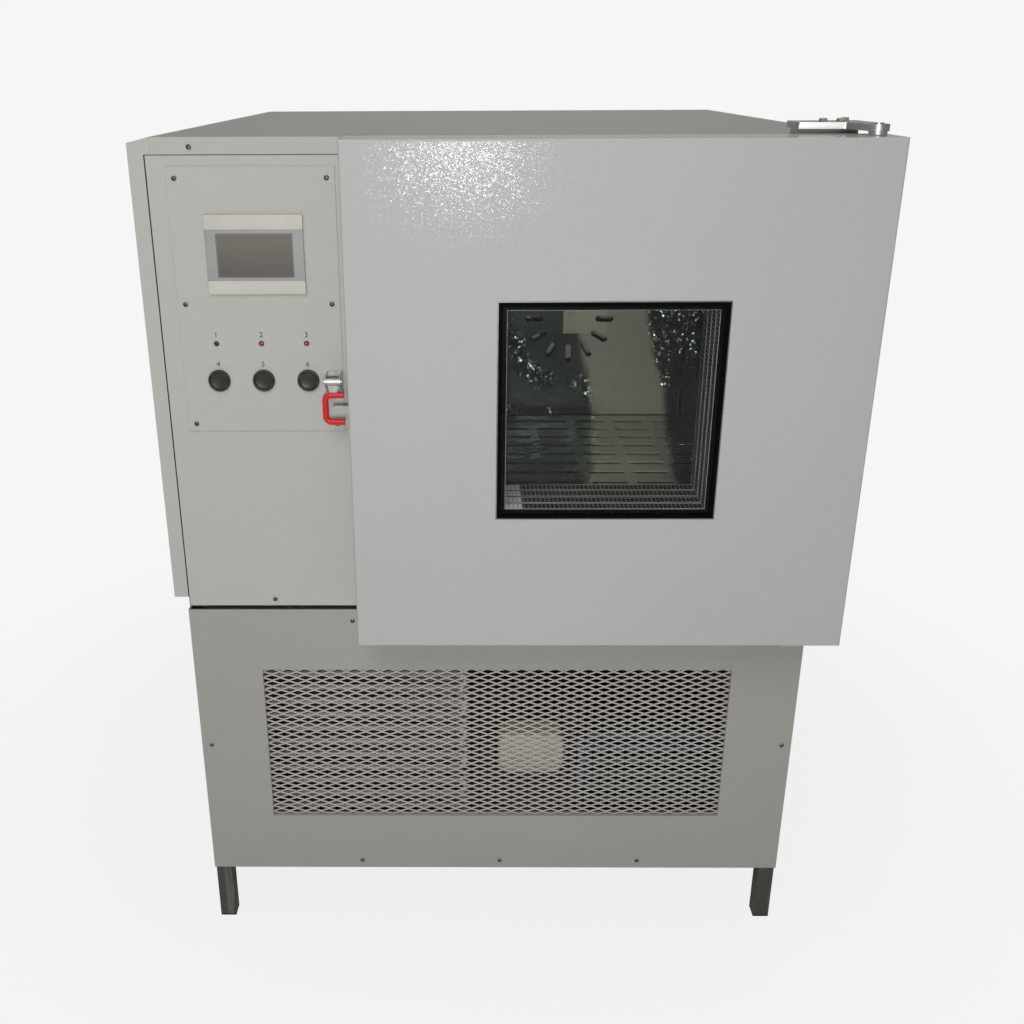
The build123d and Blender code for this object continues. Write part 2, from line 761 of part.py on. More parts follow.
for side, name in ((-1, "left_side_cover"), (1, "right_side_cover")):
    with BuildPart() as side_cover:
        with BuildSketch(front_facing(rear_plane)):
            Polygon((side * half_upper, cover_bottom_z),
                    (side * half_upper, upper_top - slope_drop),
                    (side * slope_x, upper_top), (side * slope_x, carcass_top),
                    (side * inner_half, carcass_top),
                    (side * inner_half, cover_bottom_z), align=None)
        extrude(amount=upper_depth)
        # Hollow the pan from its inner side, between the end flanges.
        with BuildSketch(front_facing(rear_plane - cover_sheet)):
            Polygon((side * (half_upper - cover_sheet), cover_bottom_z + cover_sheet),
                    (side * (half_upper - cover_sheet),
                     upper_top - slope_drop - cover_sheet),
                    (side * slope_x, upper_top - cover_sheet),
                    (side * slope_x, carcass_top),
                    (side * inner_half, carcass_top),
                    (side * inner_half, cover_bottom_z + cover_sheet), align=None)
        extrude(amount=upper_depth - 2 * cover_sheet, mode=Mode.SUBTRACT)
    finish(side_cover, name)

# Top cover: a shallow pan whose front flange is the pale band over the front panel
with BuildPart() as top_cover:
    block(-slope_x, slope_x, front_plane, rear_plane, carcass_top, upper_top)
    block(-slope_x, slope_x, front_plane + cover_sheet, rear_plane - cover_sheet,
          carcass_top, upper_top - cover_sheet, mode=Mode.SUBTRACT)
finish(top_cover, "top_cover")

# Rear panel of the upper cabinet with slots for the fan motor's air
rear_slot_width = 110
rear_slot_height = 7
rear_slot_pitch = 18
rear_slot_rows = 8
rear_slot_columns = 2
rear_slot_column_pitch = 150
with BuildPart() as rear_upper_panel:
    with BuildSketch(front_facing(rear_plane)):
        with Locations((0, (upper_bottom + carcass_top) / 2)):
            Rectangle(2 * inner_half, carcass_top - upper_bottom)
        with Locations((door_x, door_z)):
            with GridLocations(rear_slot_column_pitch, rear_slot_pitch,
                               rear_slot_columns, rear_slot_rows):
                Rectangle(rear_slot_width, rear_slot_height, mode=Mode.SUBTRACT)
    extrude(amount=panel_sheet)
finish(rear_upper_panel, "rear_upper_panel")

# Front panel of the control bay, and the control plate screwed over it
plate_left = -427
plate_width = 215
plate_height = 349
plate_bottom = upper_bottom + 268
plate_sheet = 1.5
display_width = 128
display_height = 102
display_proud = 3
display_bar = 1.2
display_rear_depth = 34
housing_inset = 5
control_x = plate_left + plate_width / 2
display_z = upper_bottom + 507
lamp_level = upper_bottom + 390
button_level = upper_bottom + 339.5
control_pitch = 60.3
plate_front = front_plane - plate_sheet
plate_top = plate_bottom + plate_height
collar_radius = 15
collar_height = 4.5
button_radius = 11.5
button_clearance = 0.35
body_radius = 11
body_clearance = 0.3
indicator_radius = 2.5
indicator_clearance = 0.2
indicator_flange = 3.6
housing_clearance = 0.5
control_spots = [control_x + i * control_pitch for i in (-1, 0, 1)]


def control_holes(y0, y1):
    # The openings for the display housing, the indicators and the push buttons.
    half_w = display_width / 2 - housing_inset + housing_clearance
    half_h = display_height / 2 - housing_inset + housing_clearance
    block(control_x - half_w, control_x + half_w, y0, y1, display_z - half_h,
          display_z + half_h, mode=Mode.SUBTRACT)
    for x in control_spots:
        disc(x, lamp_level, indicator_radius + indicator_clearance, y0, y1,
             mode=Mode.SUBTRACT)
        disc(x, button_level, body_radius + body_clearance, y0, y1, mode=Mode.SUBTRACT)


with BuildPart() as front_panel:
    block(-inner_half, bay_right, front_plane, frame_front, upper_bottom, carcass_top)
    control_holes(front_plane, frame_front)
finish(front_panel, "front_panel")

with BuildPart() as control_plate:
    block(plate_left, plate_left + plate_width, plate_front, front_plane, plate_bottom,
          plate_top)
    control_holes(plate_front, front_plane)
finish(control_plate, "control_plate")

# Operator display: a flat bezel with raised bars above and below the screen
screen_width = 97
screen_height = 54
screen_drop = 1
screen_recess = 1.5
screen_setback = 0.5
screen_z = display_z - screen_drop
bar_top_height = 19.5
bar_bottom_height = 17.6
bezel_front = plate_front - display_proud
display_top = display_z + display_height / 2
display_bottom = display_z - display_height / 2
display_left = control_x - display_width / 2

with BuildPart() as display_housing:
    block(display_left, display_left + display_width, bezel_front, plate_front,
          display_bottom, display_top)
    for z0, z1 in ((display_top - bar_top_height, display_top),
                   (display_bottom, display_bottom + bar_bottom_height)):
        block(display_left, display_left + display_width, bezel_front - display_bar,
              bezel_front, z0, z1)
    block(display_left + housing_inset, display_left + display_width - housing_inset,
          plate_front, frame_front + display_rear_depth,
          display_bottom + housing_inset, display_top - housing_inset)
    block(control_x - screen_width / 2, control_x + screen_width / 2, bezel_front,
          bezel_front + screen_recess, screen_z - screen_height / 2,
          screen_z + screen_height / 2, mode=Mode.SUBTRACT)
finish(display_housing, "display_housing")

with BuildPart() as display_screen:
    block(control_x - screen_width / 2, control_x + screen_width / 2,
          bezel_front + screen_setback, bezel_front + screen_recess,
          screen_z - screen_height / 2, screen_z + screen_height / 2)
finish(display_screen, "display_screen")

indicator_step = 1.2
indicator_proud = 2.4
indicator_tail = 10
with BuildPart() as indicator_lamps:
    for x in control_spots:
        disc(x, lamp_level, indicator_flange, plate_front - indicator_step, plate_front)
        disc(x, lamp_level, indicator_radius, plate_front - indicator_proud,
             frame_front + indicator_tail)
finish(indicator_lamps, "indicator_lamps")

# Push buttons: a black collar on the plate, its body behind, and a dished cap
cap_length = 9
cap_set = 0.3
dish_depth = 1.2
body_length = 26
body_bore = 20
body_wall = 2
stem_clearance = 0.3
collar_edge = 1
with BuildPart() as button_bodies:
    for x in control_spots:
        disc(x, button_level, collar_radius, plate_front - collar_height, plate_front)
        disc(x, button_level, body_radius, plate_front, frame_front + body_length)
        disc(x, button_level, button_radius + button_clearance,
             plate_front - collar_height, plate_front, mode=Mode.SUBTRACT)
        disc(x, button_level, body_radius - body_wall, plate_front, frame_front + body_bore,
             mode=Mode.SUBTRACT)
    chamfer(button_bodies.edges().filter_by(GeomType.CIRCLE).group_by(Axis.Y)[0]
            .filter_by(lambda edge: edge.radius > button_radius + collar_edge), collar_edge)
finish(button_bodies, "button_bodies")

cap_face = plate_front - collar_height + cap_set
cap_flange = 1.0
stem_radius = body_radius - body_wall - stem_clearance
for number, x in enumerate(control_spots, start=1):
    with BuildPart() as button_cap:
        with BuildSketch(Plane(origin=(x, 0, button_level), x_dir=(1, 0, 0),
                               z_dir=(0, 0, 1))):
            with BuildLine():
                Line((0, cap_face + dish_depth), (0, cap_face + cap_length))
                Line((0, cap_face + cap_length), (stem_radius, cap_face + cap_length))
                Line((stem_radius, cap_face + cap_length),
                     (stem_radius, cap_face + cap_flange))
                Line((stem_radius, cap_face + cap_flange),
                     (button_radius, cap_face + cap_flange))
                Line((button_radius, cap_face + cap_flange), (button_radius, cap_face))
                middle_x, middle_y = dome_point(button_radius, dish_depth)
                ThreePointArc((button_radius, cap_face), (middle_x, cap_face + middle_y),
                              (0, cap_face + dish_depth))
            make_face()
        revolve(axis=Axis((x, 0, button_level), (0, 1, 0)))
    finish(button_cap, f"button_{number}")

# Control gear behind the front panel: a mounting plate that stands on its folded foot,
# with a row of contactors and the power supply
gear_back = 260
gear_margin = 8
gear_head_room = 30
gear_foot = 30
gear_y = front_plane + gear_back
gear_left = -inner_half + tube + gear_margin
gear_right = bay_right - gear_margin
gear_bottom = floor_top
gear_top = carcass_top - tube - gear_head_room
with BuildPart() as gear_plate:
    block(gear_left, gear_right, gear_y, gear_y + panel_sheet, gear_bottom, gear_top)
    block(gear_left, gear_right, gear_y + panel_sheet, gear_y + gear_foot, gear_bottom,
          gear_bottom + panel_sheet)
finish(gear_plate, "gear_plate")

contactor_width = 45
contactor_height = 76
contactor_depth = 84
contactor_pitch = 54
contactor_count = 3
contactor_body = contactor_depth * 0.6
contactor_step = 4
contactor_ledge = 18
contactor_rise = 210
contactor_z = gear_bottom + contactor_rise
supply_width = 150
supply_height = 110
supply_depth = 60
supply_rise = 40
supply_z = gear_bottom + supply_rise
with BuildPart() as control_gear:
    middle = (gear_left + gear_right) / 2
    for i in range(contactor_count):
        x = middle + (i - (contactor_count - 1) / 2) * contactor_pitch
        block(x - contactor_width / 2, x + contactor_width / 2,
              gear_y - contactor_body, gear_y, contactor_z,
              contactor_z + contactor_height)
        block(x - contactor_width / 2 + contactor_step,
              x + contactor_width / 2 - contactor_step,
              gear_y - contactor_depth, gear_y - contactor_body,
              contactor_z + contactor_ledge, contactor_z + contactor_height - contactor_ledge)
    block(middle - supply_width / 2, middle + supply_width / 2, gear_y - supply_depth,
          gear_y, supply_z, supply_z + supply_height)
finish(control_gear, "control_gear")

# Door: painted sheet shell, foam core, stainless inner pan with the raised plug
window_size = 290
plug_clearance_x = 10
plug_entry = 14
return_width = 30
shell_edge = 2.5
plug_edge = 3
plug_half = cavity_width / 2 - plug_clearance_x
plug_back = front_plane + plug_entry
half_window = window_size / 2
window_left = door_x - half_window
window_right = door_x + half_window
window_bottom = door_z - half_window
window_top = door_z + half_window
sleeve_sheet = 1.5

with BuildPart() as door_shell:
    block(door_left, door_right, door_front, door_back, door_bottom, door_top)
    fillet(door_shell.edges().group_by(Axis.Y)[0], shell_edge)
    block(door_left + cover_sheet, door_right - cover_sheet, door_front + cover_sheet,
          door_back - cover_sheet, door_bottom + cover_sheet, door_top - cover_sheet,
          mode=Mode.SUBTRACT)
    block(door_left + return_width, door_right - return_width,
          door_back - cover_sheet, door_back, door_bottom + return_width,
          door_top - return_width, mode=Mode.SUBTRACT)
    block(window_left, window_right, door_front, door_front + cover_sheet, window_bottom,
          window_top, mode=Mode.SUBTRACT)
finish(door_shell, "door_shell")

pan_skin = door_back - cover_sheet
with BuildPart() as door_core:
    block(door_left + cover_sheet, door_right - cover_sheet, door_front + cover_sheet,
          pan_skin, door_bottom + cover_sheet, door_top - cover_sheet)
    block(window_left, window_right, door_front + cover_sheet, pan_skin, window_bottom,
          window_top, mode=Mode.SUBTRACT)
finish(door_core, "door_core")

with BuildPart() as door_inner_pan:
    block(door_left + return_width, door_right - return_width, pan_skin, door_back,
          door_bottom + return_width, door_top - return_width)
    block(door_x - plug_half, door_x + plug_half, door_back, plug_back,
          door_z - plug_half, door_z + plug_half)
    chamfer(door_inner_pan.edges().group_by(Axis.Y)[-1], plug_edge)
    block(window_left, window_right, pan_skin, plug_back, window_bottom, window_top,
          mode=Mode.SUBTRACT)
finish(door_inner_pan, "door_inner_pan")

# Gasket: a rubber ring on the inner pan, with a bulb that meets the front frame
gasket_width = 22
gasket_inset = 8
gasket_bulb = 5
with BuildPart() as door_gasket:
    outer_half = plug_half + gasket_inset + gasket_width
    inner_half_ring = plug_half + gasket_inset
    block(door_x - outer_half, door_x + outer_half, door_back,
          front_plane - seat_gap, door_z - outer_half, door_z + outer_half)
    chamfer(door_gasket.edges().group_by(Axis.Y)[-1], gasket_bulb)
    block(door_x - inner_half_ring, door_x + inner_half_ring, door_back,
          front_plane - seat_gap, door_z - inner_half_ring, door_z + inner_half_ring,
          mode=Mode.SUBTRACT)
finish(door_gasket, "door_gasket")

# Window: a sleeve through the door, five panes held apart by four hollow spacers, and
# a black trim frame at the front and at the back
pane_count = 5
pane_thickness = 4
trim_width = 6.5
trim_depth = 3
spacer_width = 11
spacer_wall = 1.2
stack_front = door_front + trim_depth
stack_back = plug_back - trim_depth
stack_length = stack_back - stack_front
spacer_length = (stack_length - pane_count * pane_thickness) / (pane_count - 1)
half_pane = half_window - sleeve_sheet


def square_ring(half_outer, half_inner, y0, y1):
    # A square frame centred on the window.
    block(door_x - half_outer, door_x + half_outer, y0, y1, door_z - half_outer,
          door_z + half_outer)
    block(door_x - half_inner, door_x + half_inner, y0, y1, door_z - half_inner,
          door_z + half_inner, mode=Mode.SUBTRACT)


with BuildPart() as window_sleeve:
    square_ring(half_window, half_pane, door_front, plug_back)
finish(window_sleeve, "window_sleeve")

with BuildPart() as window_trims:
    for y0, y1 in ((door_front, stack_front), (stack_back, plug_back)):
        block(door_x - half_pane, door_x + half_pane, y0, y1, door_z - half_pane,
              door_z + half_pane)
    block(door_x - half_window + trim_width, door_x + half_window - trim_width,
          door_front, plug_back, door_z - half_window + trim_width,
          door_z + half_window - trim_width, mode=Mode.SUBTRACT)
finish(window_trims, "window_trims")

pane_pitch = pane_thickness + spacer_length
with BuildPart() as window_panes:
    for i in range(pane_count):
        y = stack_front + i * pane_pitch
        block(door_x - half_pane, door_x + half_pane, y, y + pane_thickness,
              door_z - half_pane, door_z + half_pane)
finish(window_panes, "window_panes")

# Each spacer is a channel bent into a square, with its open side to the sleeve.
spacer_starts = [stack_front + pane_thickness + i * pane_pitch
                 for i in range(pane_count - 1)]
channel = half_pane - spacer_width
with BuildPart() as window_spacers:
    for y in spacer_starts:
        block(door_x - half_pane, door_x + half_pane, y, y + spacer_length,
              door_z - half_pane, door_z + half_pane)
    for y in spacer_starts:
        block(door_x - half_pane, door_x + half_pane, y + spacer_wall,
              y + spacer_length - spacer_wall, door_z - half_pane, door_z + half_pane,
              mode=Mode.SUBTRACT)
    for y in spacer_starts:
        band = channel + spacer_wall
        block(door_x - band, door_x + band, y + spacer_wall,
              y + spacer_length - spacer_wall, door_z - band, door_z + band)
    block(door_x - channel, door_x + channel, stack_front, stack_back, door_z - channel,
          door_z + channel, mode=Mode.SUBTRACT)
finish(window_spacers, "window_spacers")

# Hinges: a flat bracket bolted on the roof reaches out over the door, an angle on the
# base reaches under it, and a pin at each end turns in the bracket
pin_inset = 24
pin_reach = 50
pin_radius = 6
pin_x = door_right - pin_inset
pin_y = front_plane - pin_reach
washer_radius = 11
plate_lift = 6
hinge_plate = 8
arm_radius = 13
corner_radius = 5
hinge_left = 368
hinge_reach = 62
hinge_taper = 4
hinge_flare = 8
pad_setback = 10
pad_gap = 2
hinge_rear = front_plane + hinge_reach
pad_front = front_plane + pad_setback
bolt_offsets = ((36, 24), (58, 24), (70, 46))
bolt_spots = [(hinge_left + x, front_plane + y) for x, y in bolt_offsets]
bolt_across = 5.4
bolt_head = 4.2
hinge_low = upper_top + plate_lift
hinge_high = hinge_low + hinge_plate
low_plate = 5
low_gap = 4
low_leg = 44
low_reach = 32
low_side_gap = 4
low_left = pin_x - low_reach
low_right = half_base - low_side_gap
low_top = door_bottom - low_gap
low_bottom = low_top - low_plate
pin_end = 1.5

with BuildPart() as hinge_brackets:
    with BuildSketch(Plane.XY.offset(hinge_low)):
        Polygon((hinge_left, hinge_rear), (pin_x + arm_radius - hinge_taper, hinge_rear),
                (pin_x + arm_radius, front_plane), (pin_x + arm_radius, pin_y),
                (pin_x - arm_radius, pin_y), (pin_x - arm_radius - hinge_flare, front_plane),
                (hinge_left, pad_front), align=None)
        fillet(vertices(), corner_radius)
        with Locations((pin_x, pin_y)):
            Circle(arm_radius)
            Circle(pin_radius + running_clearance, mode=Mode.SUBTRACT)
    extrude(amount=hinge_plate)
    block(hinge_left + corner_radius, pin_x - pad_gap, pad_front + corner_radius,
          hinge_rear - corner_radius, upper_top, hinge_low)
    with BuildSketch(Plane.XY.offset(low_bottom)):
        with Locations(((low_left + low_right) / 2, (front_plane + pin_y) / 2)):
            Rectangle(low_right - low_left, front_plane - pin_y)
        with Locations((pin_x, pin_y)):
            Circle(arm_radius)
        with Locations((low_right, pin_y)):
            Rectangle(2 * arm_radius, 2 * arm_radius, mode=Mode.SUBTRACT,
                      align=(Align.MIN, Align.CENTER))
        with Locations((pin_x, pin_y)):
            Circle(pin_radius + running_clearance, mode=Mode.SUBTRACT)
    extrude(amount=low_plate)
    block(low_left, low_right, front_plane - low_plate, front_plane,
          low_top - low_leg, low_bottom)
finish(hinge_brackets, "hinge_brackets")

with BuildPart() as hinge_pins:
    spans = ((door_top, hinge_low - seat_gap, hinge_high + pin_end),
             (door_bottom, low_top + seat_gap, low_bottom - pin_end))
    for root, shoulder, tip in spans:
        with BuildSketch(Plane.XY.offset(min(root, shoulder))):
            with Locations((pin_x, pin_y)):
                Circle(washer_radius)
        extrude(amount=abs(shoulder - root))
        with BuildSketch(Plane.XY.offset(min(shoulder, tip))):
            with Locations((pin_x, pin_y)):
                Circle(pin_radius)
        extrude(amount=abs(tip - shoulder))
finish(hinge_pins, "hinge_pins")

# Latch beside the door: a base with two ears on the front panel, a tapered lever on a
# cross pin, a red grip bent as an open frame, and a keeper on the door that the frame
# folds round. The frame is open towards the door.
latch_from_edge = 11
latch_x = plate_left + plate_width - latch_from_edge
base_half = 10.5
base_low = 884
base_high = 926
latch_sheet = 2
ear_gap = 0.4
ear_reach = 30
ear_foot = 8
ear_round = 6
cross_z = 918
cross_y = plate_front - ear_reach
cross_radius = 2.5
cross_end = 2
lever_eye = 5
lever_half = base_half - latch_sheet - ear_gap
lever_tip_half = 5
lever_thick = 4
grip_left = -238
grip_right = -209
grip_high = 904
grip_low = 859
grip_bar = 8
grip_depth = 9
grip_round = 3.4

with BuildPart() as latch_base:
    block(latch_x - base_half, latch_x + base_half, plate_front - latch_sheet,
          plate_front, base_low, base_high)
    for x in (latch_x - base_half, latch_x + base_half - latch_sheet):
        with BuildSketch(Plane(origin=(x, 0, 0), x_dir=(0, 1, 0), z_dir=(1, 0, 0))):
            with BuildLine():
                Polyline((plate_front - latch_sheet, base_low + ear_foot),
                         (plate_front - latch_sheet, base_high),
                         (cross_y, cross_z + ear_round))
                ThreePointArc((cross_y, cross_z + ear_round),
                              (cross_y - ear_round, cross_z),
                              (cross_y, cross_z - ear_round))
                Line((cross_y, cross_z - ear_round),
                     (plate_front - latch_sheet, base_low + ear_foot))
            make_face()
            with Locations((cross_y, cross_z)):
                Circle(cross_radius + running_clearance, mode=Mode.SUBTRACT)
        extrude(amount=latch_sheet)
finish(latch_base, "latch_base")

with BuildPart() as latch_lever:
    with BuildSketch(Plane(origin=(latch_x - base_half - cross_end, 0, 0), x_dir=(0, 1, 0),
                           z_dir=(1, 0, 0))):
        with Locations((cross_y, cross_z)):
            Circle(cross_radius)
    extrude(amount=2 * (base_half + cross_end))
    with BuildSketch(Plane(origin=(latch_x - lever_half, 0, 0), x_dir=(0, 1, 0),
                           z_dir=(1, 0, 0))):
        with Locations((cross_y, cross_z)):
            Circle(lever_eye)
    extrude(amount=2 * lever_half)
    with BuildSketch(front_facing(cross_y + lever_thick / 2)):
        Polygon((latch_x - lever_half, cross_z), (latch_x + lever_half, cross_z),
                (latch_x + lever_tip_half, grip_high), (latch_x - lever_tip_half, grip_high),
                align=None)
    extrude(amount=lever_thick)
finish(latch_lever, "latch_lever")

with BuildPart() as latch_grip:
    with BuildLine() as grip_path:
        half_bar = grip_bar / 2
        FilletPolyline((grip_right, cross_y, grip_high - half_bar),
                       (grip_left + half_bar, cross_y, grip_high - half_bar),
                       (grip_left + half_bar, cross_y, grip_low + half_bar),
                       (grip_right, cross_y, grip_low + half_bar), radius=grip_bar)
    with BuildSketch(Plane(origin=(grip_right, cross_y, grip_high - half_bar),
                           x_dir=(0, 1, 0), z_dir=(-1, 0, 0))):
        RectangleRounded(grip_depth, grip_bar, grip_round)
    sweep(path=grip_path.line)
finish(latch_grip, "latch_grip")

keeper_low = 872
keeper_high = 890
keeper_reach = 27
keeper_flange = 34
keeper_lip = 6
keeper_step = 4
keeper_trim = 8
keeper_bar_half = 2.5
keeper_round = 3
keeper_setback = 2
keeper_y = cross_y - keeper_setback
with BuildPart() as latch_keeper:
    block(door_left - latch_sheet, door_left, keeper_y - keeper_flange / 2,
          keeper_y + keeper_flange / 2 - keeper_trim, keeper_low - keeper_lip,
          keeper_high + keeper_lip)
    block(door_left - keeper_reach, door_left - latch_sheet, keeper_y - keeper_bar_half,
          keeper_y + keeper_bar_half, keeper_low + keeper_step, keeper_high - keeper_step)
    fillet(latch_keeper.edges().filter_by(Axis.Y).group_by(Axis.X)[0], keeper_round)
finish(latch_keeper, "latch_keeper")

# Screws of the front: pan heads on the control plate, the panels and the roof flange,
# and the hexagon heads on the top hinge
head_radius = 3.3
head_height = 2.2
plate_screw_inset_x = 10.7
plate_screw_inset_z = 14.5
plate_screw_rise = 10.5
plate_screw_x = (plate_left + plate_screw_inset_x,
                 plate_left + plate_width - plate_screw_inset_x)
plate_screw_z = (plate_bottom + plate_screw_rise, (plate_bottom + plate_top) / 2,
                 plate_top - plate_screw_inset_z)
flange_screw = (-394.5, upper_top - 12)
panel_screw = (-325.5, upper_bottom + 10.5)
base_screw_pitch = 221.5
base_screw_inset = 14.5
base_screw_drop = 4
base_side_inset = 14.8
base_screw_centre = 7.7

with BuildPart() as screws_and_bolts:
    for x in plate_screw_x:
        for z in plate_screw_z:
            disc(x, z, head_radius, plate_front - head_height, plate_front)
    spots = [flange_screw, panel_screw]
    for i in (-1, 0, 1):
        x = base_screw_centre + i * base_screw_pitch
        spots += [(x, base_bottom + base_screw_inset),
                  (x, base_top - base_screw_inset - base_screw_drop)]
    for x in (-half_base + base_side_inset, half_base - base_side_inset):
        spots.append((x, (base_bottom + base_top) / 2))
    for x, z in spots:
        disc(x, z, head_radius, front_plane - head_height, front_plane)
    with BuildSketch(Plane.XY.offset(hinge_high)):
        with Locations(*bolt_spots):
            RegularPolygon(bolt_across, 6)
    extrude(amount=bolt_head)
finish(screws_and_bolts, "screws_and_bolts")
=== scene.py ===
import math
import bmesh
import bpy
import numpy as np
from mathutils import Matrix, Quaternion, Vector


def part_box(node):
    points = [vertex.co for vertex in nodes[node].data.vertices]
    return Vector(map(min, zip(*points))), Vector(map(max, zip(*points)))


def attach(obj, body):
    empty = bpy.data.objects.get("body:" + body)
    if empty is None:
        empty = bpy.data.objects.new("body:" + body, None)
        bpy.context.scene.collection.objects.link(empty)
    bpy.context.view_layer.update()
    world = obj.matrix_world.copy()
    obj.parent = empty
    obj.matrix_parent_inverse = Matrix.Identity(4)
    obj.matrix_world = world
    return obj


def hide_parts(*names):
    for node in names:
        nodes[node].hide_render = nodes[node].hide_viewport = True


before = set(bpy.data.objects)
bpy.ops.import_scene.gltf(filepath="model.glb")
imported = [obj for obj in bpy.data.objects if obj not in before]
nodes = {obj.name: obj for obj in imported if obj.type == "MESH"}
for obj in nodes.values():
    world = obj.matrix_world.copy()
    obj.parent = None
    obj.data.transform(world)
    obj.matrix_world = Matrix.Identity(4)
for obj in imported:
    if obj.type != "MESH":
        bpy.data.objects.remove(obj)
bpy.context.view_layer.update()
scene = bpy.context.scene
scene.view_settings.view_transform = "Standard"
scene.cycles.transparent_max_bounces = 48      # the window has five panes, lit from outside
print("frame loaded:", len(nodes), "nodes")


# Shader maths: a wrapped socket adds Math nodes when it is used in an expression
class Wire:
    def __init__(self, maker, socket):
        self.maker = maker
        self.socket = socket

    def calc(self, operation, other=None, turned=False):
        values = [v for v in ((other, self) if turned else (self, other)) if v is not None]
        return self.maker.node("ShaderNodeMath", {"operation": operation}, values)

    def fraction(self):
        return self.calc("FRACT")

    def most(self, other):
        return self.calc("MAXIMUM", other)

    def soft(self, low, high):
        # 0 below low, 1 above high, smooth between them
        return self.maker.node("ShaderNodeMapRange", {"interpolation_type": "SMOOTHSTEP"},
                               {"Value": self, "From Min": low, "From Max": high})

    def within(self, low, high, blur):
        # 1 between low and high, fading to 0 over the blur outside them
        return self.soft(low - blur, low) * (1.0 - self.soft(high, high + blur))


def operatorFor(operation, turned):
    def apply(self, other=None):
        return self.calc(operation, other, turned=turned)
    return apply


for word, operation in (("add", "ADD"), ("sub", "SUBTRACT"), ("mul", "MULTIPLY"),
                        ("truediv", "DIVIDE"), ("pow", "POWER"), ("gt", "GREATER_THAN"),
                        ("lt", "LESS_THAN"), ("abs", "ABSOLUTE")):
    setattr(Wire, f"__{word}__", operatorFor(operation, False))
    setattr(Wire, f"__r{word}__", operatorFor(operation, True))


class Finish:
    # One material: its Principled shader, and a method that makes every other node
    def __init__(self, name, **fixed):
        self.material = bpy.data.materials.new(name)
        self.material.use_nodes = True
        self.tree = self.material.node_tree
        self.shader = self.tree.nodes["Principled BSDF"]
        self.output = self.tree.nodes["Material Output"]
        for socket, value in fixed.items():
            self.set(socket.replace("_", " "), value)

    def put(self, socket, value):
        if isinstance(value, Wire):
            self.tree.links.new(value.socket, socket)
        elif isinstance(value, tuple) and len(value) == 3 and len(socket.default_value) == 4:
            socket.default_value = (*value, 1.0)      # a colour needs its alpha
        else:
            socket.default_value = value

    def set(self, socket, value):
        self.put(self.shader.inputs[socket], value)

    def node(self, kind, settings=None, values=None, output=0):
        made = self.tree.nodes.new(kind)
        for key, value in (settings or {}).items():
            setattr(made, key, value)
        named = values.items() if isinstance(values, dict) else enumerate(values or ())
        for key, value in named:
            self.put(made.inputs[key], value)
        return Wire(self, made.outputs[output])

    def place(self):               # the point on the object, in metres
        return self.node("ShaderNodeTexCoord", output="Object")

    def axes(self):
        point = self.place()
        return [self.node("ShaderNodeSeparateXYZ", {}, [point], i) for i in range(3)]

    def stretched(self, scale):
        return self.node("ShaderNodeMapping", {}, {"Vector": self.place(), "Scale": scale})

    def noise(self, scale, detail=2.0, rough=0.5, point=None):
        return self.node("ShaderNodeTexNoise", {}, {"Vector": point or self.place(), "Scale": scale,
                                                    "Detail": detail, "Roughness": rough})

    def cells(self, scale, output=0):      # output 0 is the distance, 1 a random colour a cell
        return self.node("ShaderNodeTexVoronoi", {}, {"Vector": self.place(), "Scale": scale},
                         output)

    def mix(self, factor, dark, light):
        made = self.node("ShaderNodeMix", {"data_type": "RGBA"}, None, 2)
        inputs = made.socket.node.inputs
        for index, value in ((0, factor), (6, dark), (7, light)):
            self.put(inputs[index], value)
        return made

    def drift(self, factor, colour, down, up):
        # A screen colour that drifts from one step under it to one step over it
        return self.mix(factor, tone(*np.add(colour, down)), tone(*np.add(colour, up)))

    def vector(self, operation, values):
        return self.node("ShaderNodeVectorMath", {"operation": operation}, values)

    def cover(self, factor, under, over):
        # Mixes two shaders onto the surface, in place of the Principled one alone
        mixed = self.node("ShaderNodeMixShader", {}, [factor, under, over])
        self.tree.links.new(mixed.socket, self.output.inputs["Surface"])

    def principled(self):
        return Wire(self, self.shader.outputs[0])

    def tilted(self, normal, scale, amount):
        # Each cell leans its own way: normal + amount * (random - 1/2), made one long
        lean = self.vector("SUBTRACT", [self.cells(scale, output=1), (0.5, 0.5, 0.5)])
        lean = self.vector("SCALE", {"Vector": lean, "Scale": amount})
        return self.vector("NORMALIZE", [self.vector("ADD", [normal, lean])])

    def bump(self, height, strength, distance, under=None):
        values = {"Height": height, "Strength": strength, "Distance": distance}
        if under is not None:
            values["Normal"] = under
        return self.node("ShaderNodeBump", {}, values)


def grey(level):                   # a screen grey, 0 to 255, as linear light
    return tone(level, level, level)


def tone(red, green, blue):
    part = np.array([red, green, blue]) / 255.0
    linear = np.where(part <= 0.04045, part / 12.92, ((part + 0.055) / 1.055) ** 2.4)
    return tuple(float(v) for v in linear)


# Finishes
hammerPaint = {
    "cell": 640.0, "tilt": 0.085, "fine": 700.0, "depth": 0.00008, "strength": 0.6,
    "roughness": 0.085, "gloss": 0.08, "mottle": 3.2, "spread": 4, "fold": 0.0012,
    "skin": 0.0004, "lip": 0.003,
}
seamLook = {"upright": 0.0011, "uprightGrey": 52, "level": 0.0009, "levelGrey": 112}


def panelSeams(x, z):
    # The side covers meet the flat panels in upright lines, the top cover in a level one.
    # A seam is a distance from the line, a half width, a grey and where the line runs.
    use = seamLook
    return [(abs(x) + panelLeft.x, use["upright"], use["uprightGrey"], z < coverLow.z),
            (z - coverLow.z, use["level"], use["levelGrey"], abs(x) < -panelLeft.x)]


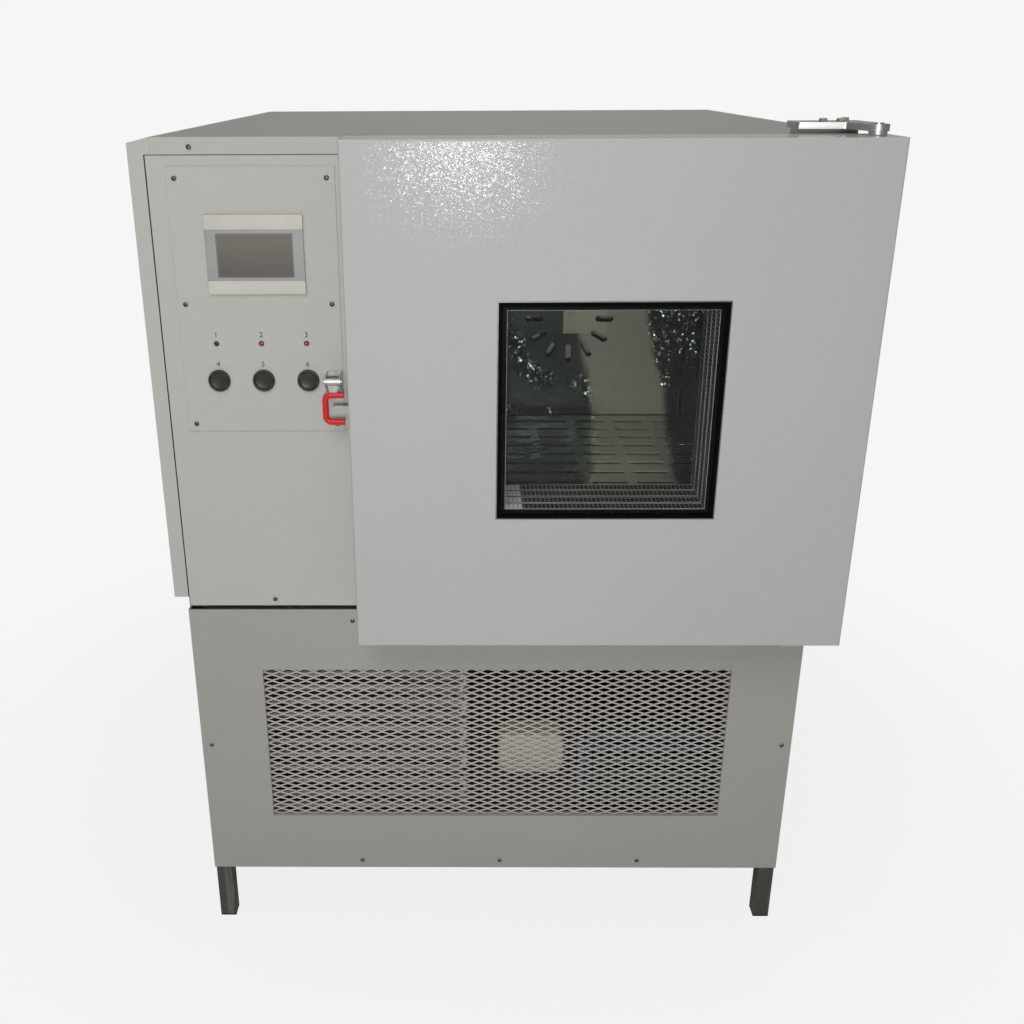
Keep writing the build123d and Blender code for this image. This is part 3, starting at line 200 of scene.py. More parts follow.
def hammered(name, colour, paintedRoofShade=None, seams=lambda x, z: ()):
    # Grey hammer-finish powder coat: small facets that tilt a little at random and sparkle
    # in the flash, a faint orange peel, edges that catch light as folded sheet does, and a
    # dark line where two sheets meet. A pair of roof colours paints shade on the upper face:
    # it is painted darker, as the light reaches it only at a grazing angle.
    use = hammerPaint
    finish = Finish(name, Metallic=0.0, IOR=1.5, Specular_IOR_Level=use["gloss"])
    x, y, z = finish.axes()
    cloud = finish.noise(use["mottle"], 3.0, 0.55)
    grain = finish.noise(use["cell"] * 0.55, 2.0)
    paint = finish.drift(cloud * 0.65 + grain * 0.35, colour, -use["spread"], use["spread"])
    if paintedRoofShade is not None:
        # The upper face takes the darker roof colours as painted shade
        upper = (z > coverHigh.z - use["skin"]) * (y > coverLow.y + use["lip"])
        paint = finish.mix(upper, paint, finish.mix(cloud, tone(*paintedRoofShade[0]), tone(*paintedRoofShade[1])))
    for line, width, level, on in seams(x, z):
        paint = finish.mix((1.0 - abs(line).soft(width * 0.6, width)) * on, paint, grey(level))
    finish.set("Base Color", paint)
    finish.set("Roughness", use["roughness"] + 0.10 * grain)
    folded = finish.node("ShaderNodeBevel", {"samples": 4}, {"Radius": use["fold"]})
    turned = finish.tilted(folded, use["cell"], use["tilt"])
    peel = finish.noise(use["fine"], 2.0)
    finish.set("Normal", finish.bump(peel, use["strength"], use["depth"], turned))
    return finish.material


def enamel(name, colour, roughness=0.42):
    # Smooth sprayed enamel with a faint orange peel and soft wear clouds
    finish = Finish(name, IOR=1.5)
    cloud = finish.noise(5.0, 4.0, 0.6)
    finish.set("Base Color", finish.drift(cloud, colour, -4, 4))
    finish.set("Roughness", roughness + 0.08 * cloud)
    finish.set("Normal", finish.bump(finish.noise(700.0, 2.0), 0.10, 0.0003))
    return finish.material


def legPaint(name):
    # Dark primer on the tubes, rubbed pale in patches and along a few scratches
    finish = Finish(name, IOR=1.5)
    rub = finish.noise(38.0, 5.0, 0.65).soft(0.52, 0.72)
    scratch = finish.noise(60.0, 3.0, 0.5, finish.stretched((1.0, 1.0, 0.06))).soft(0.60, 0.68)
    wear = (rub * 0.5).most(scratch * 0.6)
    finish.set("Base Color", finish.mix(wear, tone(66, 66, 59), tone(118, 116, 106)))
    finish.set("Roughness", 0.62 - 0.15 * wear)
    finish.set("Metallic", 0.35 * wear)
    finish.set("Normal", finish.bump(finish.noise(420.0, 3.0), 0.25, 0.0004))
    return finish.material


def brushed(name, colour, roughness=0.26, along=(1.0, 40.0, 40.0)):
    # Satin stainless: long fine strokes along one axis, in colour, gloss and relief
    finish = Finish(name, Metallic=1.0)
    stroke = finish.noise(22.0, 6.0, 0.7, finish.stretched(along))
    cloud = finish.noise(6.0, 3.0)
    finish.set("Base Color", finish.drift(stroke * 0.6 + cloud * 0.4, colour, -22, 16))
    finish.set("Roughness", roughness - 0.08 + 0.2 * stroke)
    finish.set("Normal", finish.bump(stroke, 0.12, 0.0002))
    return finish.material


linerLook = {
    "bandX": 0.2235, "bandZ": 0.855, "slant": 0.21, "half": 0.056, "blur": 0.018, "wall": 0.07,
    "spread": 0.12, "patchLow": 0.129, "patchHigh": 0.202, "patchZ": 0.865, "flake": 290.0,
    "tilt": 0.80, "waver": 0.03,
}


def linerSteel(name):
    # Polished stainless of the test space, its colour painted dark as painted shade for the
    # dim space behind the window. Small facets tilt at random, so that some glint in the
    # light from the front. A slanting pale band and a paler patch over it are painted light,
    # the light that falls through the window: band centre = bandX + slant (bandZ - z)
    use = linerLook
    finish = Finish(name)
    x, y, z = finish.axes()
    stroke = finish.noise(30.0, 6.0, 0.7, finish.stretched((50.0, 50.0, 1.0)))
    cloud = finish.noise(7.0, 4.0, 0.6)
    middle = (use["bandX"] + (use["bandZ"] - z) * use["slant"] + (y - use["wall"]) * use["spread"]
              + (cloud - 0.5) * use["waver"])
    band = 1.0 - abs(x - middle).soft(use["half"], use["half"] + use["blur"])
    patch = x.within(use["patchLow"], use["patchHigh"], 0.003) * (z > use["patchZ"])
    # The sheet's colour is painted dark as painted shade; the band and patch over it are painted
    # light
    sheet = finish.mix(stroke * 0.5 + cloud * 0.5, tone(62, 72, 65), tone(118, 128, 120))
    sheet = finish.mix(band * 0.9, sheet, tone(222, 221, 200))
    finish.set("Base Color", finish.mix(patch * 0.8, sheet, tone(236, 233, 208)))
    finish.set("Metallic", 0.80 - 0.60 * band.most(patch))
    finish.set("Roughness", 0.12 + 0.22 * stroke)
    facing = finish.node("ShaderNodeNewGeometry", output="Normal")
    cluster = finish.noise(11.0, 2.0).soft(0.42, 0.62) * (1.0 - 0.85 * band)
    turned = finish.tilted(facing, use["flake"], cluster * use["tilt"])
    finish.set("Normal", finish.bump(stroke, 0.25, 0.0003, turned))
    return finish.material


def galvanised(name, colour):
    # Zinc-coated sheet: angular spangles that differ in tone and gloss
    finish = Finish(name, Metallic=0.85)
    spangle = finish.cells(85.0, output=1)
    level = finish.node("ShaderNodeSeparateColor", {}, [spangle])
    finish.set("Base Color", finish.drift(level, colour, -14, 12))
    finish.set("Roughness", 0.34 + 0.22 * level)
    finish.set("Normal", finish.bump(finish.noise(300.0, 2.0), 0.08, 0.0003))
    return finish.material


def plated(name, colour, roughness=0.22):
    # Bright zinc plating with faint pitting and handling marks
    finish = Finish(name, Metallic=1.0)
    cloud = finish.noise(90.0, 4.0, 0.6)
    finish.set("Base Color", finish.drift(cloud, colour, -28, 10))
    finish.set("Roughness", roughness + 0.22 * cloud)
    finish.set("Normal", finish.bump(finish.noise(900.0, 2.0), 0.10, 0.0002))
    return finish.material


def moulded(name, colour, roughness=0.4, grainScale=900.0, grainDepth=0.12, index=1.48):
    # Moulded plastic or vinyl with a fine grain and slight colour drift
    finish = Finish(name, IOR=index)
    cloud = finish.noise(24.0, 3.0)
    light = np.minimum(np.multiply(colour, 1.05), 255)
    finish.set("Base Color", finish.mix(cloud, tone(*np.multiply(colour, 0.93)), tone(*light)))
    finish.set("Roughness", roughness + 0.1 * cloud)
    finish.set("Normal", finish.bump(finish.noise(grainScale, 2.0), grainDepth, 0.0002))
    return finish.material


def rubberFinish(name):
    # Black rubber with a pale bloom in patches
    finish = Finish(name, IOR=1.45)
    bloom = finish.noise(60.0, 4.0, 0.6).soft(0.4, 0.8)
    finish.set("Base Color", finish.mix(bloom, tone(28, 28, 28), tone(46, 46, 45)))
    finish.set("Roughness", 0.62 + 0.2 * bloom)
    finish.set("Normal", finish.bump(finish.noise(500.0, 2.0), 0.2, 0.0003))
    return finish.material


def finMetal(name, colour):
    # Thin aluminium fins, dulled with dust that gathers in clouds
    finish = Finish(name, Metallic=0.9)
    dust = finish.noise(16.0, 5.0, 0.65).soft(0.38, 0.75)
    dusty = tone(*np.multiply(colour, (0.72, 0.72, 0.70)))
    finish.set("Base Color", finish.mix(dust, tone(*colour), dusty))
    finish.set("Roughness", 0.32 + 0.35 * dust)
    finish.set("Normal", finish.bump(finish.noise(700.0, 2.0), 0.12, 0.0002))
    return finish.material


def paneGlass(name):
    # Clear sheet glass: see-through with a faint dark green body. The front face of each
    # pane has a Fresnel gloss; the back face, where a ray leaves the pane, has none.
    finish = Finish(name, Metallic=0.0, IOR=1.2)
    smear = finish.noise(9.0, 4.0, 0.6).soft(0.45, 0.85)
    finish.set("Base Color", finish.mix(smear, tone(20, 30, 24), tone(40, 50, 42)))
    finish.set("Roughness", 0.05 + 0.10 * smear)
    finish.set("Alpha", 0.016 + 0.012 * smear)
    gloss = finish.node("ShaderNodeBsdfGlossy", {}, {"Color": (1.0, 1.0, 1.0), "Roughness": 0.03})
    fresnel = finish.node("ShaderNodeFresnel", {}, {"IOR": 1.22})
    leaving = finish.node("ShaderNodeNewGeometry", output="Backfacing")
    finish.cover(fresnel * (1.0 - leaving), finish.principled(), gloss)
    return finish.material


spacerLook = {"hole": 0.0013, "step": 0.0058, "rows": (0.0065, 0.0140), "glassThick": 0.0040,
              "gaps": 4, "lip": 0.0010, "profile": 0.011, "innerFrom": 0.0108, "patch": 0.024}


def spacerMetal(name, panes, spacers):
    # Rolled aluminium frames between the panes. On their inner walls the punched breather
    # holes, in two rows a frame, carry painted highlights, as do the rolled edges, and a
    # painted reflection patch lies at the lower left; the fronts are dark with sealant. Depth
    # in a frame is the fraction of (y - front) / pitch, times pitch, with four gaps between five
    # panes.
    use = spacerLook
    finish = Finish(name, IOR=1.15)
    x, y, z = finish.axes()
    centreX = (panes[0].x + panes[1].x) / 2
    centreZ = (panes[0].z + panes[1].z) / 2
    pitch = (panes[1].y - panes[0].y - use["glassThick"]) / use["gaps"]
    wallX, wallZ = abs(x - centreX), abs(z - centreZ)
    upright = wallX > wallZ
    run = z * upright + x * (1.0 - upright)
    depth = ((y - spacers[0].y) / pitch).fraction() * pitch
    inner = wallX.most(wallZ) < (spacers[1].x - spacers[0].x) / 2 - use["innerFrom"]
    along = ((run / use["step"]).fraction() - 0.5) * use["step"]
    holes = blobs = None
    for row in use["rows"]:
        reach = (along ** 2.0 + (depth - row) ** 2.0) ** 0.5
        spot = 1.0 - reach.soft(use["hole"] * 0.7, use["hole"])
        blob = 1.0 - reach.soft(use["hole"] * 1.2, use["hole"] * 1.7)
        holes = spot if holes is None else holes.most(spot)
        blobs = blob if blobs is None else blobs.most(blob)
    frameDepth = pitch - use["glassThick"]
    lips = (depth < use["lip"]).most(depth > frameDepth - use["lip"])
    corner = (x < panes[0].x + use["profile"] + use["patch"]) * (z < centreZ) * (1.0 - upright)
    # Painted highlights: the holes, the rolled edges and a painted reflection patch in the corner
    # turn pale in the base colour
    paintedHighlight = (holes * 0.85).most(lips * 0.85).most(corner * (0.45 + 0.55 * blobs)) * inner
    cloud = finish.noise(60.0, 3.0)
    dull = finish.mix(cloud * inner, tone(9, 10, 9), tone(70, 74, 70))
    finish.set("Base Color", finish.mix(paintedHighlight, dull, tone(244, 247, 244)))
    finish.set("Metallic", 0.5 * inner * (1.0 - corner) * (1.0 - lips))
    finish.set("Roughness", 0.30 + 0.2 * cloud)
    return finish.material


def screenFinish(name, low, high):
    # A dark touch screen: a dim drift from top to bottom under a matte film
    finish = Finish(name, IOR=1.35)
    drift = finish.axes()[2].soft(low, high)
    smear = finish.noise(30.0, 4.0, 0.6)
    finish.set("Base Color", finish.mix(drift * 0.6 + smear * 0.4, tone(96, 93, 87),
                                        tone(118, 115, 108)))
    finish.set("Roughness", 0.55 + 0.15 * smear)
    finish.set("Normal", finish.bump(finish.noise(1400.0, 1.0), 0.05, 0.0001))
    return finish.material


def boxFinish(name, edge):
    # A cream moulded cover above the edge height, and a bracket of dark sheet below it
    finish = Finish(name, IOR=1.48)
    cloud = finish.noise(24.0, 3.0)
    cover = finish.mix(cloud, tone(222, 217, 200), tone(238, 234, 218))
    bracket = finish.mix(cloud, tone(52, 52, 50), tone(66, 66, 62))
    finish.set("Base Color", finish.mix(finish.axes()[2] > edge, bracket, cover))
    finish.set("Roughness", 0.42 + 0.1 * cloud)
    return finish.material


def lensFinish(name, colour):
    # Coloured lens with small facets under a clear coat
    finish = Finish(name, IOR=1.5, Coat_Roughness=0.05)
    facet = finish.cells(1500.0)
    finish.set("Base Color", finish.mix(facet, tone(*np.multiply(colour, 0.55)), tone(*colour)))
    finish.set("Roughness", 0.12 + 0.1 * facet)
    finish.set("Coat Weight", 0.6 + 0.4 * facet)
    return finish.material


def foamFinish(name):
    # Cream foam board with small pores
    finish = Finish(name, IOR=1.4)
    pore = finish.cells(420.0)
    finish.set("Base Color", finish.mix(pore, tone(206, 196, 160), tone(228, 220, 190)))
    finish.set("Roughness", 0.85 + 0.1 * pore)
    finish.set("Normal", finish.bump(pore, 0.3, 0.0006))
    return finish.material


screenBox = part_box("display_screen")
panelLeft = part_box("front_panel")[0]
coverLow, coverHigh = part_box("top_cover")
terminalDrop = 0.0755              # from the top of the terminal box to its bracket

finishes = {
    "doorPaint": hammered("hammered_door", (184, 184, 182)),
    "panelPaint": hammered("hammered_panel", (187, 187, 182), seams=panelSeams),
    "basePaint": hammered("hammered_base", (166, 165, 160)),
    # The roof colours paint shade: the upper face of the top cover is painted darker
    "roofPaint": hammered("hammered_roof", (185, 185, 179), seams=panelSeams,
                          paintedRoofShade=((125, 120, 105), (138, 132, 116))),
    "legPaint": legPaint("leg_primer"),
    "steel": brushed("satin_stainless", (150, 152, 150)),
    "liner": linerSteel("polished_liner"),
    "zincSheet": galvanised("galvanised_sheet", (166, 168, 168)),
    "zinc": plated("zinc_plating", (204, 204, 200), 0.28),
    "fins": finMetal("fin_aluminium", (140, 140, 138)),
    "coilTube": enamel("dull_coil_tube", (206, 206, 200), 0.4),
    "blueTube": enamel("blue_coil_tube", (112, 156, 174), 0.4),
    "blueFins": finMetal("blue_fin_aluminium", (96, 116, 126)),
    "meshPaint": enamel("grille_paint", (186, 181, 173), 0.5),
    "rubber": rubberFinish("black_rubber"),
    "blackPlastic": moulded("black_plastic", (44, 44, 42), 0.34),
    "blackTrim": moulded("black_trim_paint", (8, 8, 8), 0.7, index=1.12),
    "cream": moulded("cream_plastic", (198, 196, 186), 0.5),
    "bezelGrey": moulded("bezel_grey_plastic", (156, 157, 155), 0.45),
    "bezelEdge": moulded("bezel_edge_plastic", (120, 121, 119), 0.5),
    "lampRing": moulded("lamp_ring_plastic", (62, 44, 42), 0.3),
    "terminalBox": boxFinish("terminal_cover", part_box("terminal_box")[1].z - terminalDrop),
    # The screw heads' zinc is given a darker tone as painted shade, for the shadow that each head
    # casts
    "screwZinc": plated("screw_zinc", (128, 126, 118), 0.28),
    "red": moulded("red_vinyl", (212, 34, 36), 0.28, 500.0, 0.08),
    "blackPaint": moulded("black_stoved_paint", (34, 34, 35), 0.36, 400.0),
    "gearPlastic": moulded("gear_plastic", (92, 94, 96), 0.5),
    "castMetal": plated("cast_aluminium", (170, 171, 170), 0.45),
    "foam": foamFinish("foam_board"),
    "glass": paneGlass("pane_glass"),
    "lampGlass": moulded("opal_glass", (226, 226, 218), 0.15),
    "spacer": spacerMetal("spacer_aluminium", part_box("window_panes"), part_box("window_spacers")),
    "screen": screenFinish("screen_film", screenBox[0].z, screenBox[1].z),
    "redLens": lensFinish("red_lens", (205, 40, 36)),
    "darkLens": lensFinish("dark_lens", (86, 26, 24)),
    "ink": moulded("printed_ink", (40, 40, 40), 0.6),
}
dressing = {
    "doorPaint": "door_shell",
    "panelPaint": "left_side_cover right_side_cover rear_upper_panel front_panel "
                  "chamber_front_frame cabinet_floor control_plate",
    "roofPaint": "top_cover",
    "basePaint": "base_front_panel base_side_panels base_rear_panel",
    "legPaint": "base_frame upper_frame",
    "steel": "door_inner_pan heater_elements window_sleeve",
    "liner": "chamber_liner rear_baffle shelf shelf_rails",
    "zincSheet": "base_tray condenser_fan_shroud gear_plate",
    "zinc": "latch_base latch_lever latch_keeper hinge_brackets hinge_pins screws_and_bolts",
    "fins": "condenser_left evaporator_coil",
    "blueFins": "condenser_right",
    "meshPaint": "base_grille",
    "rubber": "foot_plugs joint_strips door_gasket",
    "blackPlastic": "button_bodies button_1 button_2 button_3 power_cable_gland",
    "blackTrim": "window_trims",
    "terminalBox": "terminal_box",
    "bezelGrey": "display_housing",
    "red": "latch_grip",
    "blackPaint": "compressor_low_stage compressor_high_stage condenser_fan_motor "
                  "circulation_motor condenser_fan",
    "gearPlastic": "control_gear",
    "castMetal": "circulation_fan",
    "foam": "chamber_insulation door_core",
    "glass": "window_panes",
    "lampGlass": "chamber_lamp",
    "spacer": "window_spacers",
    "screen": "display_screen",
    "redLens": "indicator_lamps",
}


def dress(piece, finishName):
    piece.data.materials.clear()
    piece.data.materials.append(finishes[finishName])


for finishName, names in dressing.items():
    for name in names.split():
        dress(nodes[name], finishName)
print("finishes on", sum(len(v.split()) for v in dressing.values()), "nodes")


# Mesh making: whole arrays of points and faces
def meshPiece(name, points, faces, finishName, smooth=True):
    mesh = bpy.data.meshes.new(name)
    mesh.from_pydata(np.asarray(points, float).tolist(), [], [list(map(int, f)) for f in faces])
    mesh.validate()
    mesh.update()
    piece = bpy.data.objects.new(name, mesh)
    scene.collection.objects.link(piece)
    mesh.polygons.foreach_set("use_smooth", [smooth] * len(mesh.polygons))
    mesh.materials.append(finishes[finishName])
    return piece


def gridFaces(rows, columns, wrapColumns=False):
    # Quads of a rows x columns grid of points, whose rows may close on themselves
    a, b = np.meshgrid(np.arange(rows - 1), np.arange(columns if wrapColumns else columns - 1),
                       indexing="ij")
    c, d = a + 1, (b + 1) % columns
    quads = np.stack([a * columns + b, a * columns + d, c * columns + d, c * columns + b], -1)
    return quads.reshape(-1, 4)


def lathePart(profile, centre, sides):
    # A profile of (radius, distance forward) turned about an axis that points to the
    # front: x = cx + r cos t, z = cz + r sin t, y = cy - distance. Poles are closed.
    profile = np.asarray(profile, float)
    t = np.linspace(0, 2 * np.pi, sides, endpoint=False)
    r, d = profile[:, :1], profile[:, 1:]
    x = centre[0] + r * np.cos(t)
    y = centre[1] - d + 0 * t
    z = centre[2] + r * np.sin(t)
    points = np.stack([x, y, z], -1).reshape(-1, 3)
    faces = gridFaces(len(profile), sides, wrapColumns=True)
    ends = [tuple(range(sides))[::-1], tuple(range(len(points) - sides, len(points)))]
    return points, list(faces) + ends


def roundedOutline(halfWidth, halfHeight, radius, steps=6):
    # Four quarter arcs joined by straight sides, anticlockwise seen with X right, Z up
    t = np.linspace(0, np.pi / 2, steps)
    corners = []
    for quarter, (sx, sz) in enumerate(((1, 1), (-1, 1), (-1, -1), (1, -1))):
        angle = t + quarter * np.pi / 2
        corners.append(np.stack([sx * (halfWidth - radius) + radius * np.cos(angle),
                                 sz * (halfHeight - radius) + radius * np.sin(angle)], -1))
    return np.concatenate(corners)


def slabPart(centre, halfWidth, halfHeight, depth, radius, edge, steps=6, rings=4):
    # A plate whose front edges are rounded: outlines drawn in by edge (1 - cos a) as
    # they come forward by edge sin a, closed flat at the back and the front.
    a = np.linspace(0, np.pi / 2, rings)
    inset = np.concatenate([[0.0], edge * (1 - np.cos(a))])
    ahead = np.concatenate([[0.0], depth - edge + edge * np.sin(a)])
    rows = []
    for draw, forward in zip(inset, ahead):
        line = roundedOutline(halfWidth - draw, halfHeight - draw,
                              max(radius - draw, 0.00005), steps)
        rows.append(np.stack([centre[0] + line[:, 0], np.full(len(line), centre[1] - forward),
                              centre[2] + line[:, 1]], -1))
    count = len(rows[0])
    points = np.concatenate(rows)
    faces = list(gridFaces(len(rows), count, wrapColumns=True))
    ends = [tuple(range(count))[::-1], tuple(range(len(points) - count, len(points)))]
    return points, faces + ends


def joined(parts):
    # One set of points and faces from many, each part's faces counted on from the last
    points, faces, start = [], [], 0
    for partPoints, partFaces in parts:
        points.append(partPoints)
        faces += [tuple(int(v) + start for v in face) for face in partFaces]
        start += len(partPoints)
    return np.concatenate(points), faces


def boxesPart(lows, highs):
    # Many plain boxes at once from arrays of low and high corners, as for fins
    lows, highs = np.atleast_2d(lows), np.atleast_2d(highs)
    pick = np.array([[i, j, k] for i in (0, 1) for j in (0, 1) for k in (0, 1)])
    points = (lows[:, None] * (1 - pick) + highs[:, None] * pick).reshape(-1, 3)
    sides = np.array([[0, 1, 3, 2], [4, 6, 7, 5], [0, 4, 5, 1], [2, 3, 7, 6], [0, 2, 6, 4],
                      [1, 5, 7, 3]])
    faces = (np.arange(len(lows))[:, None, None] * 8 + sides).reshape(-1, 4)
    return points, faces


def tubePart(path, radius, sides):
    # A round tube whose rings stand square to the path: path + radius (side cos t + other
    # sin t). Side is square to the path and to Z, or is X where the path is upright.
    path = np.asarray(path, float)
    ahead = np.gradient(path, axis=0)
    ahead /= np.linalg.norm(ahead, axis=1, keepdims=True)
    side = np.cross(ahead, np.array([0.0, 0.0, 1.0]))
    flat = np.linalg.norm(side, axis=1) < 1e-3
    side[flat] = np.array([1.0, 0.0, 0.0])
    side /= np.linalg.norm(side, axis=1, keepdims=True)
    other = np.cross(side, ahead)
    t = np.linspace(0, 2 * np.pi, sides, endpoint=False)
    ring = side[:, None] * np.cos(t)[None, :, None] + other[:, None] * np.sin(t)[None, :, None]
    points = (path[:, None] + radius * ring).reshape(-1, 3)
    faces = [tuple(face[::-1]) for face in gridFaces(len(path), sides, wrapColumns=True)]
    faces += [tuple(range(sides)), tuple(range(len(points) - sides, len(points)))[::-1]]
    return points, faces


def turnedOut(piece):
    # Merges doubles and turns every face outwards
    work = bmesh.new()
    work.from_mesh(piece.data)
    bmesh.ops.remove_doubles(work, verts=work.verts, dist=1e-7)
    bmesh.ops.recalc_face_normals(work, faces=work.faces)
    work.to_mesh(piece.data)
    work.free()
    return piece


def sharpEdges(piece, degrees=35.0):
    piece.data.set_sharp_from_angle(angle=math.radians(degrees))
    return piece


# Expanded metal behind the base panel's opening
grilleSizes = {"pitchX": 0.0250, "pitchZ": 0.0105, "strand": 0.0023, "knuckle": 0.05,
               "overlap": 0.45, "lean": 0.35, "web": 0.6}


def expandedMesh():
    # Strand k zigzags as z = (k + 1/2) h + (h / 2) (-1)^(column + k), with h half the
    # diamond's height, so each touches the next at every other column. It is flat for a
    # short run at each knuckle, and leans as cut metal does: y follows the same zigzag.
    use = grilleSizes
    low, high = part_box("base_grille")
    columns = int(round((high.x - low.x) / (use["pitchX"] / 2)))
    strands = int(round((high.z - low.z) / (use["pitchZ"] / 2)))
    stepX, stepZ = (high.x - low.x) / columns, (high.z - low.z) / strands
    flat = stepX * use["knuckle"]
    half = use["strand"] / 2
    thick = (high.y - low.y) / 2
    column = np.repeat(np.arange(columns + 1), 2)
    x = low.x + column * stepX
    x[0::2] -= flat
    x[1::2] += flat
    x = np.clip(x, low.x, high.x)
    parts = []
    for k in range(strands):
        turn = 1.0 - 2.0 * ((column + k) % 2)
        z = low.z + (k + 0.5) * stepZ + turn * (stepZ / 2 - half * use["overlap"])
        y = (low.y + high.y) / 2 - turn * thick * use["lean"]
        corners = [np.stack([x, y + dy * thick * use["web"], z + dz * half], -1)
                   for dz, dy in ((-1, -1), (1, -1), (1, 1), (-1, 1))]
        points = np.stack(corners, 1).reshape(-1, 3)
        ends = [(3, 2, 1, 0), tuple(np.arange(4) + 4 * (len(x) - 1))]
        parts.append((points, list(gridFaces(len(x), 4, wrapColumns=True)) + ends))
    points, faces = joined(parts)
    points = np.clip(points, list(low), list(high))
    piece = turnedOut(meshPiece("expanded_mesh", points, faces, "meshPaint", smooth=False))
    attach(piece, "cabinet")
    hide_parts("base_grille")


# Finned coils behind the grille
coilSizes = {"finPitch": 0.0026, "fin": 0.00025, "tube": 0.0048, "rowPitch": 0.0250,
             "endPlate": 0.0016, "endRoom": 0.016, "banks": (0.10, 0.55), "bendTube": 0.9,
             "bendReach": 0.85, "sides": 10}


def finnedCoil(name, node, finishName, tubeFinish):
    # Upright fins in arrays of thin boxes, with rows of tubes joined by return bends that
    # are half ellipses: x = end + reach cos a, z = middle + radius sin a
    use = coilSizes
    low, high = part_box(node)
    inset = use["endPlate"]
    left, right = low.x + use["endRoom"], high.x - use["endRoom"]
    count = int((right - left) / use["finPitch"])
    x = np.linspace(left, right, count)
    lows = np.stack([x, np.full(count, low.y), np.full(count, low.z)], -1)
    highs = np.stack([x + use["fin"], np.full(count, high.y), np.full(count, high.z)], -1)
    plateLows = [[left - inset, low.y, low.z], [right, low.y, low.z]]
    plateHighs = [[left, high.y, high.z], [right + inset, high.y, high.z]]
    fins = meshPiece(name + "_fins", *boxesPart(np.vstack([lows, plateLows]),
                                                np.vstack([highs, plateHighs])),
                     finishName, smooth=False)
    rows = int((high.z - low.z) / use["rowPitch"])
    middle = (low.z + high.z) / 2
    levels = middle + (np.arange(rows) - (rows - 1) / 2) * use["rowPitch"]
    a = np.linspace(-np.pi / 2, np.pi / 2, 9)
    bendRadius = use["rowPitch"] / 2
    tubes = []
    for bank in use["banks"]:
        y = low.y + (high.y - low.y) * bank
        for index, z in enumerate(levels):
            tubes.append(tubePart([[left - inset, y, z], [right + inset, y, z]], use["tube"],
                                  use["sides"]))
            if index + 1 < rows:
                edge, sign = (right + inset, 1) if index % 2 == 0 else (left - inset, -1)
                bend = np.stack([edge + sign * bendRadius * use["bendReach"] * np.cos(a), y + 0 * a,
                                 z + bendRadius + bendRadius * np.sin(a)], -1)
                tubes.append(tubePart(bend, use["tube"] * use["bendTube"], use["sides"]))
    pipes = meshPiece(name + "_tubes", *joined(tubes), tubeFinish)
    for piece in (fins, pipes):
        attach(piece, "cabinet")
        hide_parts(node)


# Pan-head screws with a cross slot, and hexagon heads on the top hinge
screwSizes = {"head": 0.0033, "rise": 0.0022, "wall": 0.45, "round": 2.6, "slot": 0.0007,
              "slotDeep": 0.0011, "slotReach": 0.62, "flatter": 0.004, "chamferAt": 0.82,
              "chamfer": 0.86, "sides": 32, "rings": 7}


def panHead(centre, turn):
    # The head is a shallow dome over a short wall: rise (wall + (1 - wall) (1 - r^round)),
    # r being the share of the radius. The cross is a plus-shaped well sunk below the dome.
    use = screwSizes
    sides, rings = use["sides"], use["rings"]
    r = np.linspace(0.02, 1.0, rings)[:, None]
    t = np.linspace(0, 2 * np.pi, sides, endpoint=False)[None, :]
    rise = use["rise"] * (use["wall"] + (1 - use["wall"]) * (1 - r ** use["round"])) + 0 * t
    u = r * use["head"] * np.cos(t)
    v = r * use["head"] * np.sin(t)
    inSlot = (np.minimum(abs(u), abs(v)) < use["slot"]) & (r + 0 * t < use["slotReach"])
    rise = rise - inSlot * use["slotDeep"]
    c, s = math.cos(turn), math.sin(turn)
    top = np.stack([centre[0] + u * c - v * s, centre[1] - rise, centre[2] + u * s + v * c], -1)
    wall = top[-1].copy()
    wall[:, 1] = centre[1]
    points = np.concatenate([top.reshape(-1, 3), wall])
    faces = [tuple(face[::-1]) for face in gridFaces(rings + 1, sides, wrapColumns=True)]
    faces += [tuple(range(sides)), tuple(range(rings * sides, (rings + 1) * sides))[::-1]]
    return points, faces


def islandBoxes(node):
    # Low and high corners of a CAD node's separate solids, found by merging its points
    work = bmesh.new()
    work.from_mesh(nodes[node].data)
    bmesh.ops.remove_doubles(work, verts=work.verts, dist=1e-6)
    seen, boxes = set(), []
    for vert in work.verts:
        if vert.index in seen:
            continue
        stack, group = [vert], []
        seen.add(vert.index)
        while stack:
            here = stack.pop()
            group.append(tuple(here.co))
            for edge in here.link_edges:
                there = edge.other_vert(here)
                if there.index not in seen:
                    seen.add(there.index)
                    stack.append(there)
        group = np.array(group)
        boxes.append((group.min(0), group.max(0)))
    work.free()
    return sorted(boxes, key=lambda b: (round(b[0][2], 3), round(b[0][0], 3)))


